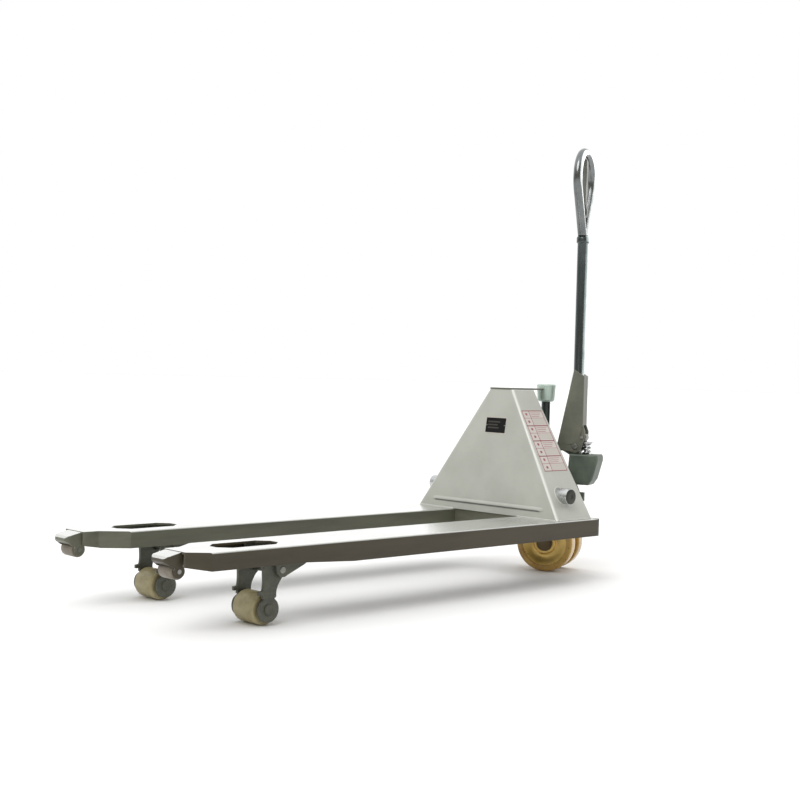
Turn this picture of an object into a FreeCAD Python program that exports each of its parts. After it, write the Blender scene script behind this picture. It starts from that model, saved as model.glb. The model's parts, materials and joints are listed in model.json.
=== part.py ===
import FreeCAD, Part
import Sketcher
import math
import os
import re

# Hand pallet truck with raised forks. Millimetres, +Z up, +X towards the fork tips, +Y to the left fork.
# The origin is on the floor under the middle of the whole truck. "Ram axis" is the vertical line about
# which the pump, the steering wheels and the handle swivel.

SIZES = {
    # whole truck
    "ram_axis_x": -679.5,
    "steer_angle": -66,
    "fork_top": 180,
    "lift_travel": 100,
    # forks
    "overall_width": 560,
    "fork_width": 160,
    "fork_depth": 48,
    "fork_front_depth": 40,
    "fork_plate": 5,
    "fork_rear": 95,
    "inner_shoulder": 1345,
    "outer_shoulder": 1400,
    "channel_end": 1445,
    "tip_end": 1485,
    "tip_inner": 34,
    "tip_outer": 42,
    "slot_rear": 1172,
    "slot_front": 1342,
    "slot_width": 76,
    "slot_bevel": 25,
    "lever_slot_half": 45,
    "tip_inset": 4,
    # hump
    "hump_base_front": 255,
    "hump_top_front": 200,
    "hump_rear": 110,
    "hump_base_half": 268,
    "hump_top_half": 42,
    "hump_top": 535,
    "hump_sheet": 4,
    "hump_seat": 0.5,
    "rib_half": 204,
    "rib_rise": 20,
    "rib_height": 9,
    "cap_plate": 8,
    # ram head and ram
    "head_radius": 28,
    "head_bottom": 496,
    "head_top": 547,
    "ram_radius": 13,
    "ram_bottom": 300,
    "head_depth": 30,
    # rocker
    "rocker_x": 195,
    "rocker_height": 243,
    "rocker_angle": 14.38,
    "cradle_length": 201.3,
    "cradle_spacing": 70,
    "lever_length": 93.6,
    "rocker_shaft_radius": 12,
    "torsion_tube_radius": 22,
    "boss_radius": 22,
    "boss_start": 211,
    "boss_end": 262,
    "torsion_tube_half": 207,
    "cradle_plate": 12,
    "hook_half": 9,
    "lever_plate": 10,
    # push rods
    "rod_height": 152.3,
    "rod_radius": 10,
    "rod_pin_radius": 6,
    "rod_fork_half": 14,
    "rod_throat_half": 6,
    # load arms and rollers
    "pivot_x": 1192,
    "pivot_height": 124,
    "roller_x": 1223,
    "load_roller_radius": 37,
    "load_roller_length": 72,
    "arm_plate": 8,
    "arm_gap": 42,
    "crank_length": 36.7,
    "crank_angle": 39.5,
    "pivot_radius": 8,
    "arm_boss_radius": 31,
    "roller_axle_radius": 10,
    "roller_bearing_radius": 18,
    "bearing_width": 12,
    "lug_plate": 6,
    "lug_drop": 16,
    # entry rollers
    "entry_x": 1450,
    "entry_drop": 42,
    "entry_radius": 18,
    "entry_length": 50,
    "entry_pin_radius": 5,
    # steering wheels
    "wheel_radius": 84,
    "wheel_width": 42,
    "wheel_inner": 20,
    "wheel_trail": 25,
    "tyre_inner_radius": 66,
    "wheel_axle_radius": 10,
    "wheel_bearing_radius": 24,
    "wheel_bearing_width": 14,
    "hub_web": 12,
    "washer_radius": 17,
    # pump
    "cylinder_radius": 30,
    "cylinder_top": 372,
    "base_top": 176,
    "seat_radius": 48,
    "carrier_radius": 52,
    "carrier_height": 22,
    "carrier_pin_radius": 8,
    "carrier_pin_reach": 80,
    "clamp_wall": 8,
    "clamp_bottom": 222,
    "web_half": 18,
    "block_front": 82,
    "block_rear": 170,
    "block_half": 36,
    "block_bottom": 257,
    "block_top": 346,
    "plunger_offset": 128,
    "plunger_top": 382.5,
    "plunger_radius": 8,
    "plunger_length": 78,
    "plunger_cap_radius": 17,
    "well_radius": 20,
    "well_depth": 34,
    "guide_depth": 86,
    "spring_radius": 12,
    "spring_wire_radius": 2,
    "valve_height": 226,
    "valve_pin_radius": 4,
    # handle
    "handle_offset": 98,
    "handle_pivot": 368,
    "ear_inner": 17,
    "ear_plate": 6,
    "pin_radius": 8,
    "press_offset": 20,
    "press_rise": 27,
    "press_radius": 12,
    "press_pin_radius": 5,
    "tube_radius": 15.5,
    "tube_bore": 12.5,
    "tube_plug_bottom": 428,
    "tube_plug_top": 558,
    "tube_top": 973,
    "loop_half": 80,
    "loop_centre": 1147,
    "loop_bar": 13,
    "loop_foot_half": 9,
    "lever_pivot": 1050,
    "lever_pin_radius": 4,
    "lever_pin_reach": 36,
    "pull_rod_radius": 2.5,
    "pull_rod_offset": 6,
}

RUNNING_FIT = 0.05
TOLERANCE = 0.01

doc = FreeCAD.newDocument("PalletTruck")
sheet = doc.addObject("Spreadsheet::Sheet", "Sizes")
for row, (alias, value) in enumerate(SIZES.items(), start=1):
    sheet.set("A%d" % row, alias)
    sheet.set("B%d" % row, str(value))
    sheet.setAlias("B%d" % row, alias)
doc.recompute()

SUB_PARTS = []


# ---------------------------------------------------------------- helpers

def bound(text):
    """The expression with every size name pointing at the spreadsheet."""
    return re.sub(r"[a-z]+(_[a-z]+)+", lambda m: "Sizes." + m.group(0), str(text))


def number(text):
    """The present value of an expression written with size names."""
    return float(sheet.evalExpression(str(text)))


def sketch_on(body, role, offset="0"):
    """A sketch on one of the body's own origin planes, moved along that plane's normal."""
    plane = [f for f in body.Origin.OriginFeatures if f.Role == role + "_Plane"][0]
    sketch = body.newObject("Sketcher::SketchObject", body.Name + "_sketch")
    sketch.AttachmentSupport = [(plane, "")]
    sketch.MapMode = "FlatFace"
    sketch.setExpression("AttachmentOffset.Base.z", bound(offset))
    return sketch


def fix_point(sketch, geometry, point, x, y):
    """Ties one sketch point to its two expressions."""
    for kind, text in (("DistanceX", x), ("DistanceY", y)):
        constraint = sketch.addConstraint(Sketcher.Constraint(kind, geometry, point, number(text)))
        sketch.setExpression("Constraints[%d]" % constraint, bound(text))


def draw_polygon(sketch, corners):
    """A closed outline through the corners, each an (x, y) pair of expressions."""
    first = sketch.GeometryCount
    count = len(corners)
    vectors = [FreeCAD.Vector(number(x), number(y), 0) for x, y in corners]
    for i in range(count):
        sketch.addGeometry(Part.LineSegment(vectors[i], vectors[(i + 1) % count]), False)
    for i in range(count):
        sketch.addConstraint(Sketcher.Constraint("Coincident", first + i, 2, first + (i + 1) % count, 1))
        fix_point(sketch, first + i, 1, *corners[i])


def draw_circle(sketch, x, y, radius):
    centre = FreeCAD.Vector(number(x), number(y), 0)
    index = sketch.addGeometry(Part.Circle(centre, FreeCAD.Vector(0, 0, 1), number(radius)), False)
    fix_point(sketch, index, 3, x, y)
    constraint = sketch.addConstraint(Sketcher.Constraint("Radius", index, number(radius)))
    sketch.setExpression("Constraints[%d]" % constraint, bound(radius))


def rectangle(left, bottom, right, top):
    return [(left, bottom), (right, bottom), (right, top), (left, top)]


def volume_of(body):
    doc.recompute()
    return body.Shape.Volume if not body.Shape.isNull() else 0.0


def add_feature(body, kind, sketch, length, way, cuts):
    """A Pad or Pocket. way is "both" (symmetric), "along" the sketch's normal or "against" it."""
    before = volume_of(body)
    feature = body.newObject("PartDesign::" + kind, body.Name + "_" + kind)
    feature.Profile = sketch
    feature.setExpression("Length", bound(length))
    feature.SideType = "Symmetric" if way == "both" else "One side"
    # a Pocket's own forward direction is against the sketch's normal
    feature.Reversed = (way == "along") if cuts else (way == "against")
    sketch.Visibility = False
    after = volume_of(body)
    if cuts and after >= before - TOLERANCE:
        raise RuntimeError(body.Label + ": a pocket cuts nothing")
    if not cuts and after <= before + TOLERANCE:
        raise RuntimeError(body.Label + ": a pad adds nothing")
    return feature


def pad(body, sketch, length, way="both"):
    return add_feature(body, "Pad", sketch, length, way, False)


def cut(body, sketch, length, way="both"):
    return add_feature(body, "Pocket", sketch, length, way, True)


def revolve(body, sketch, axis):
    """A full turn about the sketch's own V_Axis or H_Axis."""
    feature = body.newObject("PartDesign::Revolution", body.Name + "_Revolution")
    feature.Profile = sketch
    feature.ReferenceAxis = (sketch, [axis])
    feature.Angle = 360
    return feature


def round_edges(body, radius, test):
    """Fillets the edges that pass the test, which is given each edge and its middle point."""
    doc.recompute()
    names = []
    for i, edge in enumerate(body.Shape.Edges, start=1):
        middle = edge.valueAt((edge.FirstParameter + edge.LastParameter) / 2)
        if test(edge, middle):
            names.append("Edge%d" % i)
    last = body.Tip
    feature = body.newObject("PartDesign::Fillet", body.Name + "_Fillet")
    feature.Base = (last, names)
    feature.setExpression("Radius", bound(radius))
    doc.recompute()
    return feature


def new_body(label):
    body = doc.addObject("PartDesign::Body", label)
    body.Label = label
    return body


def put(piece, x="0", y="0", z="0", steered=False, turn=None):
    """Places a sub-part. x is measured from the ram axis; a steered one swivels about that axis."""
    if steered:
        base_x = "ram_axis_x + (%s) * cos(steer_angle * 1deg) - (%s) * sin(steer_angle * 1deg)" % (x, y)
        base_y = "(%s) * sin(steer_angle * 1deg) + (%s) * cos(steer_angle * 1deg)" % (x, y)
    else:
        base_x = "ram_axis_x + (%s)" % x
        base_y = str(y)
    rotation = turn or FreeCAD.Rotation()
    if steered:
        swivel = FreeCAD.Rotation(FreeCAD.Vector(0, 0, 1), number("steer_angle"))
        rotation = swivel.multiply(rotation)
    piece.Placement = FreeCAD.Placement(FreeCAD.Vector(0, 0, 0), rotation)
    piece.setExpression("Placement.Base.x", bound(base_x))
    piece.setExpression("Placement.Base.y", bound(base_y))
    piece.setExpression("Placement.Base.z", bound(z))
    SUB_PARTS.append(piece)
    return piece


def plate(label, role, outline, thickness, holes=(), way="both"):
    """A flat plate: a polygon, an optional list of (x, y, radius) holes, and a thickness."""
    body = new_body(label)
    sketch = sketch_on(body, role)
    draw_polygon(sketch, outline)
    for hole in holes:
        draw_circle(sketch, *hole)
    pad(body, sketch, thickness, way)
    return body


def turned(label, axis, outline):
    """A turned piece. axis "Z": the outline is (radius, z). Axis "Y": the outline is (y, radius)."""
    body = new_body(label)
    sketch = sketch_on(body, "XZ" if axis == "Z" else "YZ")
    draw_polygon(sketch, outline)
    revolve(body, sketch, "V_Axis" if axis == "Z" else "H_Axis")
    doc.recompute()
    return body


def ring(label, axis, inner, outer, low, high):
    """A tube or, with inner "0", a rod between two stations on its axis."""
    if axis == "Z":
        return turned(label, axis, rectangle(inner, low, outer, high))
    return turned(label, axis, rectangle(low, inner, high, outer))


def bevelled(inner, outer, low, high, bevel):
    """The (y, radius) outline of a ring with both outer corners bevelled."""
    return [
        (low, inner),
        (high, inner),
        (high, "%s - %s" % (outer, bevel)),
        ("%s - %s" % (high, bevel), outer),
        ("%s + %s" % (low, bevel), outer),
        (low, "%s - %s" % (outer, bevel)),
    ]


def group(label, members):
    """Several separate solids of one kind in one sub-part."""
    compound = doc.addObject("Part::Compound", label)
    compound.Label = label
    compound.Links = members
    doc.recompute()
    SUB_PARTS[:] = [p for p in SUB_PARTS if p not in members]
    SUB_PARTS.append(compound)
    return compound


FORK_CENTRE = "(overall_width - fork_width) / 2"
TIP_CENTRE = "(%s + (tip_outer - tip_inner) / 4)" % FORK_CENTRE
SIDES = (("left", 1), ("right", -1))


def rotated(degrees):
    """A turn about the truck's Y axis."""
    return FreeCAD.Rotation(FreeCAD.Vector(0, 1, 0), degrees)


# ---------------------------------------------------------------- fork frame

def fork(name, side):
    """A folded channel, open below, tapering to the tip, with the roller slot and the rocker slot."""
    out = lambda text: "%d * (%s)" % (side, text)
    body = new_body("fork_" + name)
    half = "fork_width / 2"
    plan = sketch_on(body, "XY")
    draw_polygon(plan, [
        ("fork_rear", out("-" + half)),
        ("inner_shoulder", out("-" + half)),
        ("inner_shoulder + 60", out("-tip_inner - 2")),
        ("channel_end", out("-tip_inner")),
        ("channel_end", out("tip_outer + 3")),
        ("outer_shoulder", out(half)),
        ("fork_rear", out(half)),
    ])
    pad(body, plan, "fork_depth", "against")
    inside = sketch_on(body, "XY", "-fork_plate")
    wall = "fork_width / 2 - fork_plate"
    draw_polygon(inside, [
        ("fork_rear - 10", out("-(%s)" % wall)),
        ("inner_shoulder - 2", out("-(%s)" % wall)),
        ("inner_shoulder + 57", out("-tip_inner + 3")),
        ("channel_end + 10", out("-tip_inner + 5")),
        ("channel_end + 10", out("tip_outer - 10")),
        ("outer_shoulder - 2", out(wall)),
        ("fork_rear - 10", out(wall)),
    ])
    cut(body, inside, "fork_depth", "against")
    slot = sketch_on(body, "XY")
    draw_polygon(slot, [
        ("slot_rear", "-slot_width / 2 + slot_bevel"),
        ("slot_rear + slot_bevel", "-slot_width / 2"),
        ("slot_front - slot_bevel", "-slot_width / 2"),
        ("slot_front", "-slot_width / 2 + slot_bevel"),
        ("slot_front", "slot_width / 2 - slot_bevel"),
        ("slot_front - slot_bevel", "slot_width / 2"),
        ("slot_rear + slot_bevel", "slot_width / 2"),
        ("slot_rear", "slot_width / 2 - slot_bevel"),
    ])
    draw_polygon(slot, rectangle("rocker_x - lever_slot_half", "-lever_plate",
                                 "rocker_x + lever_slot_half", "lever_plate"))
    cut(body, slot, "fork_plate + 2", "against")
    lower_edge = sketch_on(body, "XZ")
    draw_polygon(lower_edge, [
        ("1000", "-fork_depth - 5"),
        ("1000", "-fork_depth"),
        ("1150", "-fork_front_depth"),
        ("outer_shoulder", "-fork_front_depth"),
        ("channel_end + 5", "-32"),
        ("channel_end + 5", "-fork_depth - 5"),
    ])
    cut(body, lower_edge, "fork_width + 10")
    wall_face = number(half)
    round_edges(body, "fork_plate - 1", lambda edge, middle: (
        abs(middle.z) < TOLERANCE and abs(abs(middle.y) - wall_face) < TOLERANCE and edge.Length > wall_face))
    # the hump stands on a shallow seat, so the flat top ahead of it is a face of its own
    seat = sketch_on(body, "XY")
    draw_polygon(seat, rectangle("fork_rear - 1", "-fork_width", "hump_base_front", "fork_width"))
    cut(body, seat, "hump_seat", "against")
    return put(body, "0", out(FORK_CENTRE), "fork_top")


def fork_tip(name, side):
    """The sloping nose with two lugs that hold the entry roller between them."""
    body = new_body("fork_tip_" + name)
    width = "2 * (tip_inner - tip_inset)"
    profile = sketch_on(body, "XZ")
    draw_polygon(profile, [
        ("channel_end - 30", "-fork_plate"),
        ("channel_end", "-fork_plate"),
        ("channel_end", "-1"),
        ("tip_end - 6", "-9"),
        ("tip_end", "-14"),
        ("tip_end", "-20"),
        ("entry_x + 16", "-entry_drop + 8"),
        ("channel_end - 30", "-26"),
    ])
    pad(body, profile, width)
    lug = sketch_on(body, "XZ")
    draw_circle(lug, "entry_x", "-entry_drop", "entry_radius - tip_inset")
    pad(body, lug, width)
    bay = sketch_on(body, "XZ")
    draw_polygon(bay, rectangle("entry_x - entry_radius - 6", "-2 * entry_drop",
                                "entry_x + entry_radius + 6", "-entry_drop + entry_radius + 3"))
    cut(body, bay, "entry_length + 1")
    bore = sketch_on(body, "XZ")
    draw_circle(bore, "entry_x", "-entry_drop", "entry_pin_radius")
    cut(body, bore, "fork_width")
    nose = number("tip_end")
    round_edges(body, "entry_pin_radius + 7", lambda edge, middle: (
        abs(middle.x - nose) < TOLERANCE and abs(edge.BoundBox.ZLength - edge.Length) < TOLERANCE))
    return put(body, "0", "%d * %s" % (side, TIP_CENTRE), "fork_top")


def entry_roller(name, side):
    body = turned("entry_roller_" + name, "Y", bevelled(
        "entry_pin_radius + %g" % RUNNING_FIT, "entry_radius", "-entry_length / 2", "entry_length / 2", "2"))
    return put(body, "entry_x", "%d * %s" % (side, TIP_CENTRE), "fork_top - entry_drop")


def entry_pin(name, side):
    body = ring("entry_pin_" + name, "Y", "0", "entry_pin_radius", "-tip_inner + 3", "tip_inner - 3")
    return put(body, "entry_x", "%d * %s" % (side, TIP_CENTRE), "fork_top - entry_drop")


def fork_end_plate(name, side):
    half = "fork_width / 2"
    body = plate("fork_end_plate_" + name, "YZ",
                 rectangle("-" + half, "-fork_depth", half, "0"), "fork_plate", way="against")
    return put(body, "fork_rear", "%d * (%s)" % (side, FORK_CENTRE), "fork_top")


def pivot_lug(name, side, lateral):
    """A gusset under the fork that carries one end of the load arm's pivot shaft."""
    top = "fork_top - fork_plate - pivot_height"
    body = plate("pivot_lug_%s_%s" % (name, "outer" if lateral > 0 else "inner"), "XZ", [
        ("-75", top),
        ("-75", "lug_drop"),
        ("-62", "lug_drop / 2"),
        ("-14", "-12"),
        ("-6", "-lug_drop"),
        ("6", "-lug_drop"),
        ("16", "-6"),
        ("22", top),
    ], "lug_plate", holes=[("0", "0", "pivot_radius")])
    return put(body, "pivot_x", "%d * (%s) + %d * (arm_gap + arm_plate + 5)" % (side, FORK_CENTRE, lateral),
               "pivot_height")


def hump_cover():
    """Bent sheet: the sloping front and both sides of the hump, open at the back, top and bottom."""
    body = new_body("hump_cover")

    def section(height, front, half, behind="0"):
        sketch = sketch_on(body, "XY", height)
        draw_polygon(sketch, rectangle("hump_rear - " + behind, "-(%s)" % half, front, half))
        return sketch

    def loft(kind, sections):
        feature = body.newObject("PartDesign::" + kind, kind)
        feature.Profile = sections[0]
        feature.Sections = sections[1:]
        feature.Ruled = True
        doc.recompute()

    loft("AdditiveLoft", [
        section("fork_top - hump_seat", "hump_base_front", "hump_base_half"),
        section("hump_top", "hump_top_front", "hump_top_half"),
    ])
    rib = sketch_on(body, "YZ", "hump_base_front - 3 * hump_sheet")
    draw_polygon(rib, rectangle("-rib_half", "fork_top + rib_rise",
                                "rib_half", "fork_top + rib_rise + rib_height"))
    pad(body, rib, "3 * hump_sheet - 1", "along")

    # the sides slope, so the same sheet is wider when it is measured level
    rise = number("hump_top - fork_top + hump_seat")
    lean = number("hump_base_half - hump_top_half") / rise
    level = "%.4f * hump_sheet" % math.hypot(1, lean)
    loft("SubtractiveLoft", [
        section("fork_top - hump_seat - %g" % TOLERANCE, "hump_base_front - hump_sheet",
                "hump_base_half - " + level, "20"),
        section("hump_top + %g" % TOLERANCE, "hump_top_front - hump_sheet",
                "hump_top_half - " + level, "20"),
    ])
    bore = sketch_on(body, "XZ")
    draw_circle(bore, "rocker_x", "rocker_height", "boss_radius")
    cut(body, bore, "overall_width")
    return put(body)


def hump_top_plate():
    """The cap of the hump, carried back to the ram head and bored for it."""
    body = plate("hump_top_plate", "XY", [
        ("-22", "-12"),
        ("-22", "12"),
        ("20", "hump_top_half - 5"),
        ("hump_top_front - 5", "hump_top_half - 6"),
        ("hump_top_front - 5", "-hump_top_half + 6"),
        ("20", "-hump_top_half + 5"),
    ], "cap_plate", way="against")
    bore = sketch_on(body, "XY")
    draw_circle(bore, "0", "0", "head_radius")
    cut(body, bore, "2 * cap_plate", "against")
    return put(body, "0", "0", "hump_top")


def ram_head():
    """The turned cup that sits on the ram and carries the hump."""
    body = turned("ram_head", "Z", [
        ("ram_radius", "head_bottom"),
        ("head_radius - 8", "head_bottom"),
        ("head_radius - 3", "head_bottom + 5"),
        ("head_radius", "head_top - 3"),
        ("head_radius - 3", "head_top"),
        ("0", "head_top"),
        ("0", "head_bottom + head_depth"),
        ("ram_radius", "head_bottom + head_depth"),
    ])
    return put(body)


def ram():
    body = turned("ram", "Z", [
        ("0", "ram_bottom"),
        ("ram_radius", "ram_bottom"),
        ("ram_radius", "head_bottom + head_depth"),
        ("0", "head_bottom + head_depth"),
    ])
    return put(body)


def cross_member():
    """A channel that joins the two forks under the front of the hump."""
    gap = "(overall_width / 2 - fork_width)"
    body = new_body("cross_member")
    front = "hump_base_front - hump_sheet"
    profile = sketch_on(body, "XZ")
    draw_polygon(profile, [
        (front + " - 25", "fork_top"),
        (front, "fork_top"),
        (front, "fork_top - fork_depth + hump_sheet"),
        (front + " - fork_plate", "fork_top - fork_depth + hump_sheet"),
        (front + " - fork_plate", "fork_top - fork_plate"),
        (front + " - 25", "fork_top - fork_plate"),
    ])
    pad(body, profile, "2 * " + gap)
    return put(body)


# ---------------------------------------------------------------- rocker and push rods

def rocker_boss(name, side):
    reach = "(boss_end - boss_start) / 2"
    body = ring("rocker_boss_" + name, "Y", "rocker_shaft_radius", "boss_radius", "-" + reach, reach)
    return put(body, "rocker_x", "%d * (boss_end + boss_start) / 2" % side, "rocker_height")


def rocker_shaft():
    body = turned("rocker_shaft", "Y", bevelled("0", "rocker_shaft_radius", "-boss_end", "boss_end", "2"))
    return put(body, "rocker_x", "0", "rocker_height")


def torsion_tube():
    body = ring("torsion_tube", "Y", "rocker_shaft_radius + %g" % RUNNING_FIT, "torsion_tube_radius",
                "-torsion_tube_half", "torsion_tube_half")
    return put(body, "rocker_x", "0", "rocker_height")


def cradle_arm(name, side):
    """The rocker's arm that reaches back to the carrier pin; its open end is a hook over the pin."""
    end = "-cradle_length - 16"
    hook = "-cradle_length + 17"
    body = plate("cradle_arm_" + name, "XZ", [
        ("0", "30"),
        ("-30", "30"),
        (hook, "hook_half + 6"),
        (end, "hook_half + 6"),
        (end, "hook_half"),
        (hook, "hook_half"),
        (hook, "-hook_half"),
        (end, "-hook_half"),
        (end, "-hook_half - 4"),
        ("-30", "-hook_half - 5"),
        ("-20", "-28"),
        ("20", "-28"),
        ("30", "0"),
        ("20", "28"),
    ], "cradle_plate")
    bore = sketch_on(body, "XZ")
    draw_circle(bore, "0", "0", "torsion_tube_radius")
    cut(body, bore, "2 * cradle_plate")
    return put(body, "rocker_x", "%d * cradle_spacing" % side, "rocker_height",
               turn=rotated(-number("rocker_angle")))


def rod_lever(name, side):
    """The rocker's lever that drives one push rod; the rod's pin works in its short slot."""
    body = plate("rod_lever_" + name, "XZ", [
        ("-28", "18"),
        ("-12", "24"),
        ("12", "24"),
        ("28", "18"),
        ("26", "-20"),
        ("16", "-lever_length + 4"),
        ("9", "-lever_length - 13"),
        ("-9", "-lever_length - 13"),
        ("-16", "-lever_length + 4"),
        ("-26", "-20"),
    ], "lever_plate")
    slot_half = "rod_pin_radius + 1"
    bore = sketch_on(body, "XZ")
    draw_circle(bore, "0", "0", "torsion_tube_radius")
    draw_polygon(bore, rectangle("-(%s)" % slot_half, "-lever_length - 7", slot_half, "-lever_length + 11"))
    cut(body, bore, "2 * lever_plate")
    return put(body, "rocker_x", "%d * (%s)" % (side, FORK_CENTRE), "rocker_height",
               turn=rotated(-number("rocker_angle")))


ROD_REAR = "(rocker_x + lever_length * sin(rocker_angle * 1deg))"
ROD_FRONT = "(pivot_x + crank_length * sin(crank_angle * 1deg))"


def push_rod(name, side):
    """A round bar with a fork end at the rocker and an eye at the load arms."""
    body = new_body("push_rod_" + name)
    length = "(%s - %s)" % (ROD_FRONT, ROD_REAR)
    bar_start = "25"
    bar = sketch_on(body, "YZ", bar_start)
    draw_circle(bar, "0", "0", "rod_radius")
    pad(body, bar, "%s - %s - rod_pin_radius" % (length, bar_start), "along")
    fork_end = sketch_on(body, "XZ")
    draw_polygon(fork_end, [
        ("-11", "-9"), ("-7", "-12"), ("40", "-12"), ("48", "-9"),
        ("48", "9"), ("40", "12"), ("-7", "12"), ("-11", "9"),
    ])
    pad(body, fork_end, "2 * rod_fork_half")
    throat = sketch_on(body, "XZ")
    draw_polygon(throat, rectangle("-20", "-20", "26", "20"))
    cut(body, throat, "2 * rod_throat_half")
    eye = sketch_on(body, "XZ")
    draw_circle(eye, length, "0", "2 * rod_pin_radius")
    pad(body, eye, "2 * rod_fork_half")
    bores = sketch_on(body, "XZ")
    draw_circle(bores, "0", "0", "rod_pin_radius")
    draw_circle(bores, length, "0", "rod_pin_radius")
    cut(body, bores, "4 * rod_fork_half")
    return put(body, ROD_REAR, "%d * (%s)" % (side, FORK_CENTRE), "rod_height")


def rod_pins(name, side):
    """The short rear pin and the long front pin of one push rod."""
    rear = ring("rod_pin_rear_" + name, "Y", "0", "rod_pin_radius", "-rod_fork_half - 2", "rod_fork_half + 2")
    put(rear, ROD_REAR, "%d * (%s)" % (side, FORK_CENTRE), "rod_height")
    front = ring("rod_pin_front_" + name, "Y", "0", "rod_pin_radius",
                 "-arm_gap - arm_plate - 1", "arm_gap + arm_plate + 1")
    put(front, ROD_FRONT, "%d * (%s)" % (side, FORK_CENTRE), "rod_height")
    return group("rod_pins_" + name, [rear, front])


# ---------------------------------------------------------------- load arms and rollers

def load_arm(name, side, lateral):
    """One cheek of a load arm: roller boss below, pivot behind, crank slot on top, stop tab in front."""
    label = "load_arm_%s_%s" % (name, "outer" if lateral * side > 0 else "inner")
    body = new_body(label)
    rise = "(pivot_height - load_roller_radius)"
    back = "(roller_x - pivot_x)"
    crank_top = rise + " + crank_length * cos(crank_angle * 1deg)"
    outline = sketch_on(body, "XZ")
    draw_polygon(outline, [
        ("-%s - 12" % back, "%s - 12" % rise),
        ("-%s - 2" % back, "%s - 17" % rise),
        ("-22", "48"),
        ("-22", "10"),
        ("18", "10"),
        ("18", "33"),
        ("28", "33"),
        ("28", "42"),
        ("18", "42"),
        ("18", "%s + 8" % rise),
        ("4", crank_top + " + 5"),
        ("-14", crank_top + " + 15"),
        ("-24", crank_top + " + 6"),
        ("-%s - 17" % back, "%s + 6" % rise),
    ])
    pad(body, outline, "arm_plate")
    boss = sketch_on(body, "XZ")
    draw_circle(boss, "0", "0", "arm_boss_radius")
    pad(body, boss, "arm_plate")
    bores = sketch_on(body, "XZ")
    draw_circle(bores, "0", "0", "roller_axle_radius")
    draw_circle(bores, "-" + back, rise, "pivot_radius + %g" % RUNNING_FIT)
    cut(body, bores, "3 * arm_plate")
    sine = "sin(crank_angle * 1deg)"
    cosine = "cos(crank_angle * 1deg)"
    slot_half = number("rod_pin_radius") + 2
    slot_inner = -17
    slot_outer = number("rod_pin_radius") + 0.6
    corners = []
    for reach, sideways in ((slot_inner, -slot_half), (slot_outer, -slot_half),
                            (slot_outer, slot_half), (slot_inner, slot_half)):
        corners.append((
            "-%s + (crank_length + %g) * %s + %g * %s" % (back, reach, sine, sideways, cosine),
            "%s + (crank_length + %g) * %s - %g * %s" % (rise, reach, cosine, sideways, sine),
        ))
    crank_slot = sketch_on(body, "XZ")
    draw_polygon(crank_slot, corners)
    cut(body, crank_slot, "3 * arm_plate")
    return put(body, "roller_x", "%d * (%s) + %d * (arm_gap + arm_plate / 2)" % (side, FORK_CENTRE, lateral),
               "load_roller_radius")


def arm_pivot(name, side):
    reach = "arm_gap + arm_plate + lug_plate + 3"
    body = turned("arm_pivot_" + name, "Y", bevelled("0", "pivot_radius", "-(%s)" % reach, reach, "1"))
    return put(body, "pivot_x", "%d * (%s)" % (side, FORK_CENTRE), "pivot_height")


def pivot_spacer(name, side):
    reach = "arm_gap - 0.3"
    body = ring("pivot_spacer_" + name, "Y", "pivot_radius", "1.5 * pivot_radius", "-(%s)" % reach, reach)
    return put(body, "pivot_x", "%d * (%s)" % (side, FORK_CENTRE), "pivot_height")


def roller_axle(name, side):
    """The load roller's axle with a raised round head against each cheek."""
    end = "(arm_gap + arm_plate)"
    head = "(roller_axle_radius + 3)"
    body = turned("roller_axle_" + name, "Y", [
        ("-%s - 4" % end, "0"),
        ("%s + 4" % end, "0"),
        ("%s + 4" % end, "roller_axle_radius"),
        ("%s + 2" % end, head),
        (end, head),
        (end, "roller_axle_radius"),
        ("-" + end, "roller_axle_radius"),
        ("-" + end, head),
        ("-%s - 2" % end, head),
        ("-%s - 4" % end, "roller_axle_radius"),
    ])
    return put(body, "roller_x", "%d * (%s)" % (side, FORK_CENTRE), "load_roller_radius")


def load_roller(name, side):
    half = "load_roller_length / 2"
    body = turned("load_roller_" + name, "Y", bevelled(
        "roller_bearing_radius", "load_roller_radius", "-" + half, half, "3"))
    return put(body, "roller_x", "%d * (%s)" % (side, FORK_CENTRE), "load_roller_radius")


def roller_bearings(name, side):
    members = []
    centre = "(load_roller_length - bearing_width - 2) / 2"
    for end in (1, -1):
        bearing = ring("roller_bearing_%s_%s" % (name, "outer" if end > 0 else "inner"), "Y",
                       "roller_axle_radius + %g" % RUNNING_FIT, "roller_bearing_radius",
                       "-bearing_width / 2", "bearing_width / 2")
        put(bearing, "roller_x", "%d * ((%s) + %d * %s)" % (side, FORK_CENTRE, end, centre),
            "load_roller_radius")
        members.append(bearing)
    return group("roller_bearings_" + name, members)


# ---------------------------------------------------------------- carrier, pump and steering wheels

def thrust_carrier():
    """The ring that does not steer: it rides on the pump's bearing and holds the rocker's cradle pins."""
    body = new_body("thrust_carrier")
    profile = sketch_on(body, "XZ")
    draw_polygon(profile, rectangle("cylinder_radius + %g" % RUNNING_FIT, "-carrier_height / 2",
                                    "carrier_radius", "carrier_height / 2"))
    revolve(body, profile, "V_Axis")
    pins = sketch_on(body, "XZ")
    draw_circle(pins, "0", "0", "carrier_pin_radius")
    pad(body, pins, "2 * carrier_pin_reach")
    bore = sketch_on(body, "XY")
    draw_circle(bore, "0", "0", "cylinder_radius + %g" % RUNNING_FIT)
    cut(body, bore, "3 * carrier_height")
    return put(body, "0", "0", "rocker_height - lift_travel / 2")


def thrust_bearing():
    gap = "0.3"
    body = ring("thrust_bearing", "Z", "cylinder_radius + %g" % RUNNING_FIT, "seat_radius - 2",
                "0", "rocker_height - (lift_travel + carrier_height) / 2 - base_top - %s" % gap)
    return put(body, "0", "0", "base_top")


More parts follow.
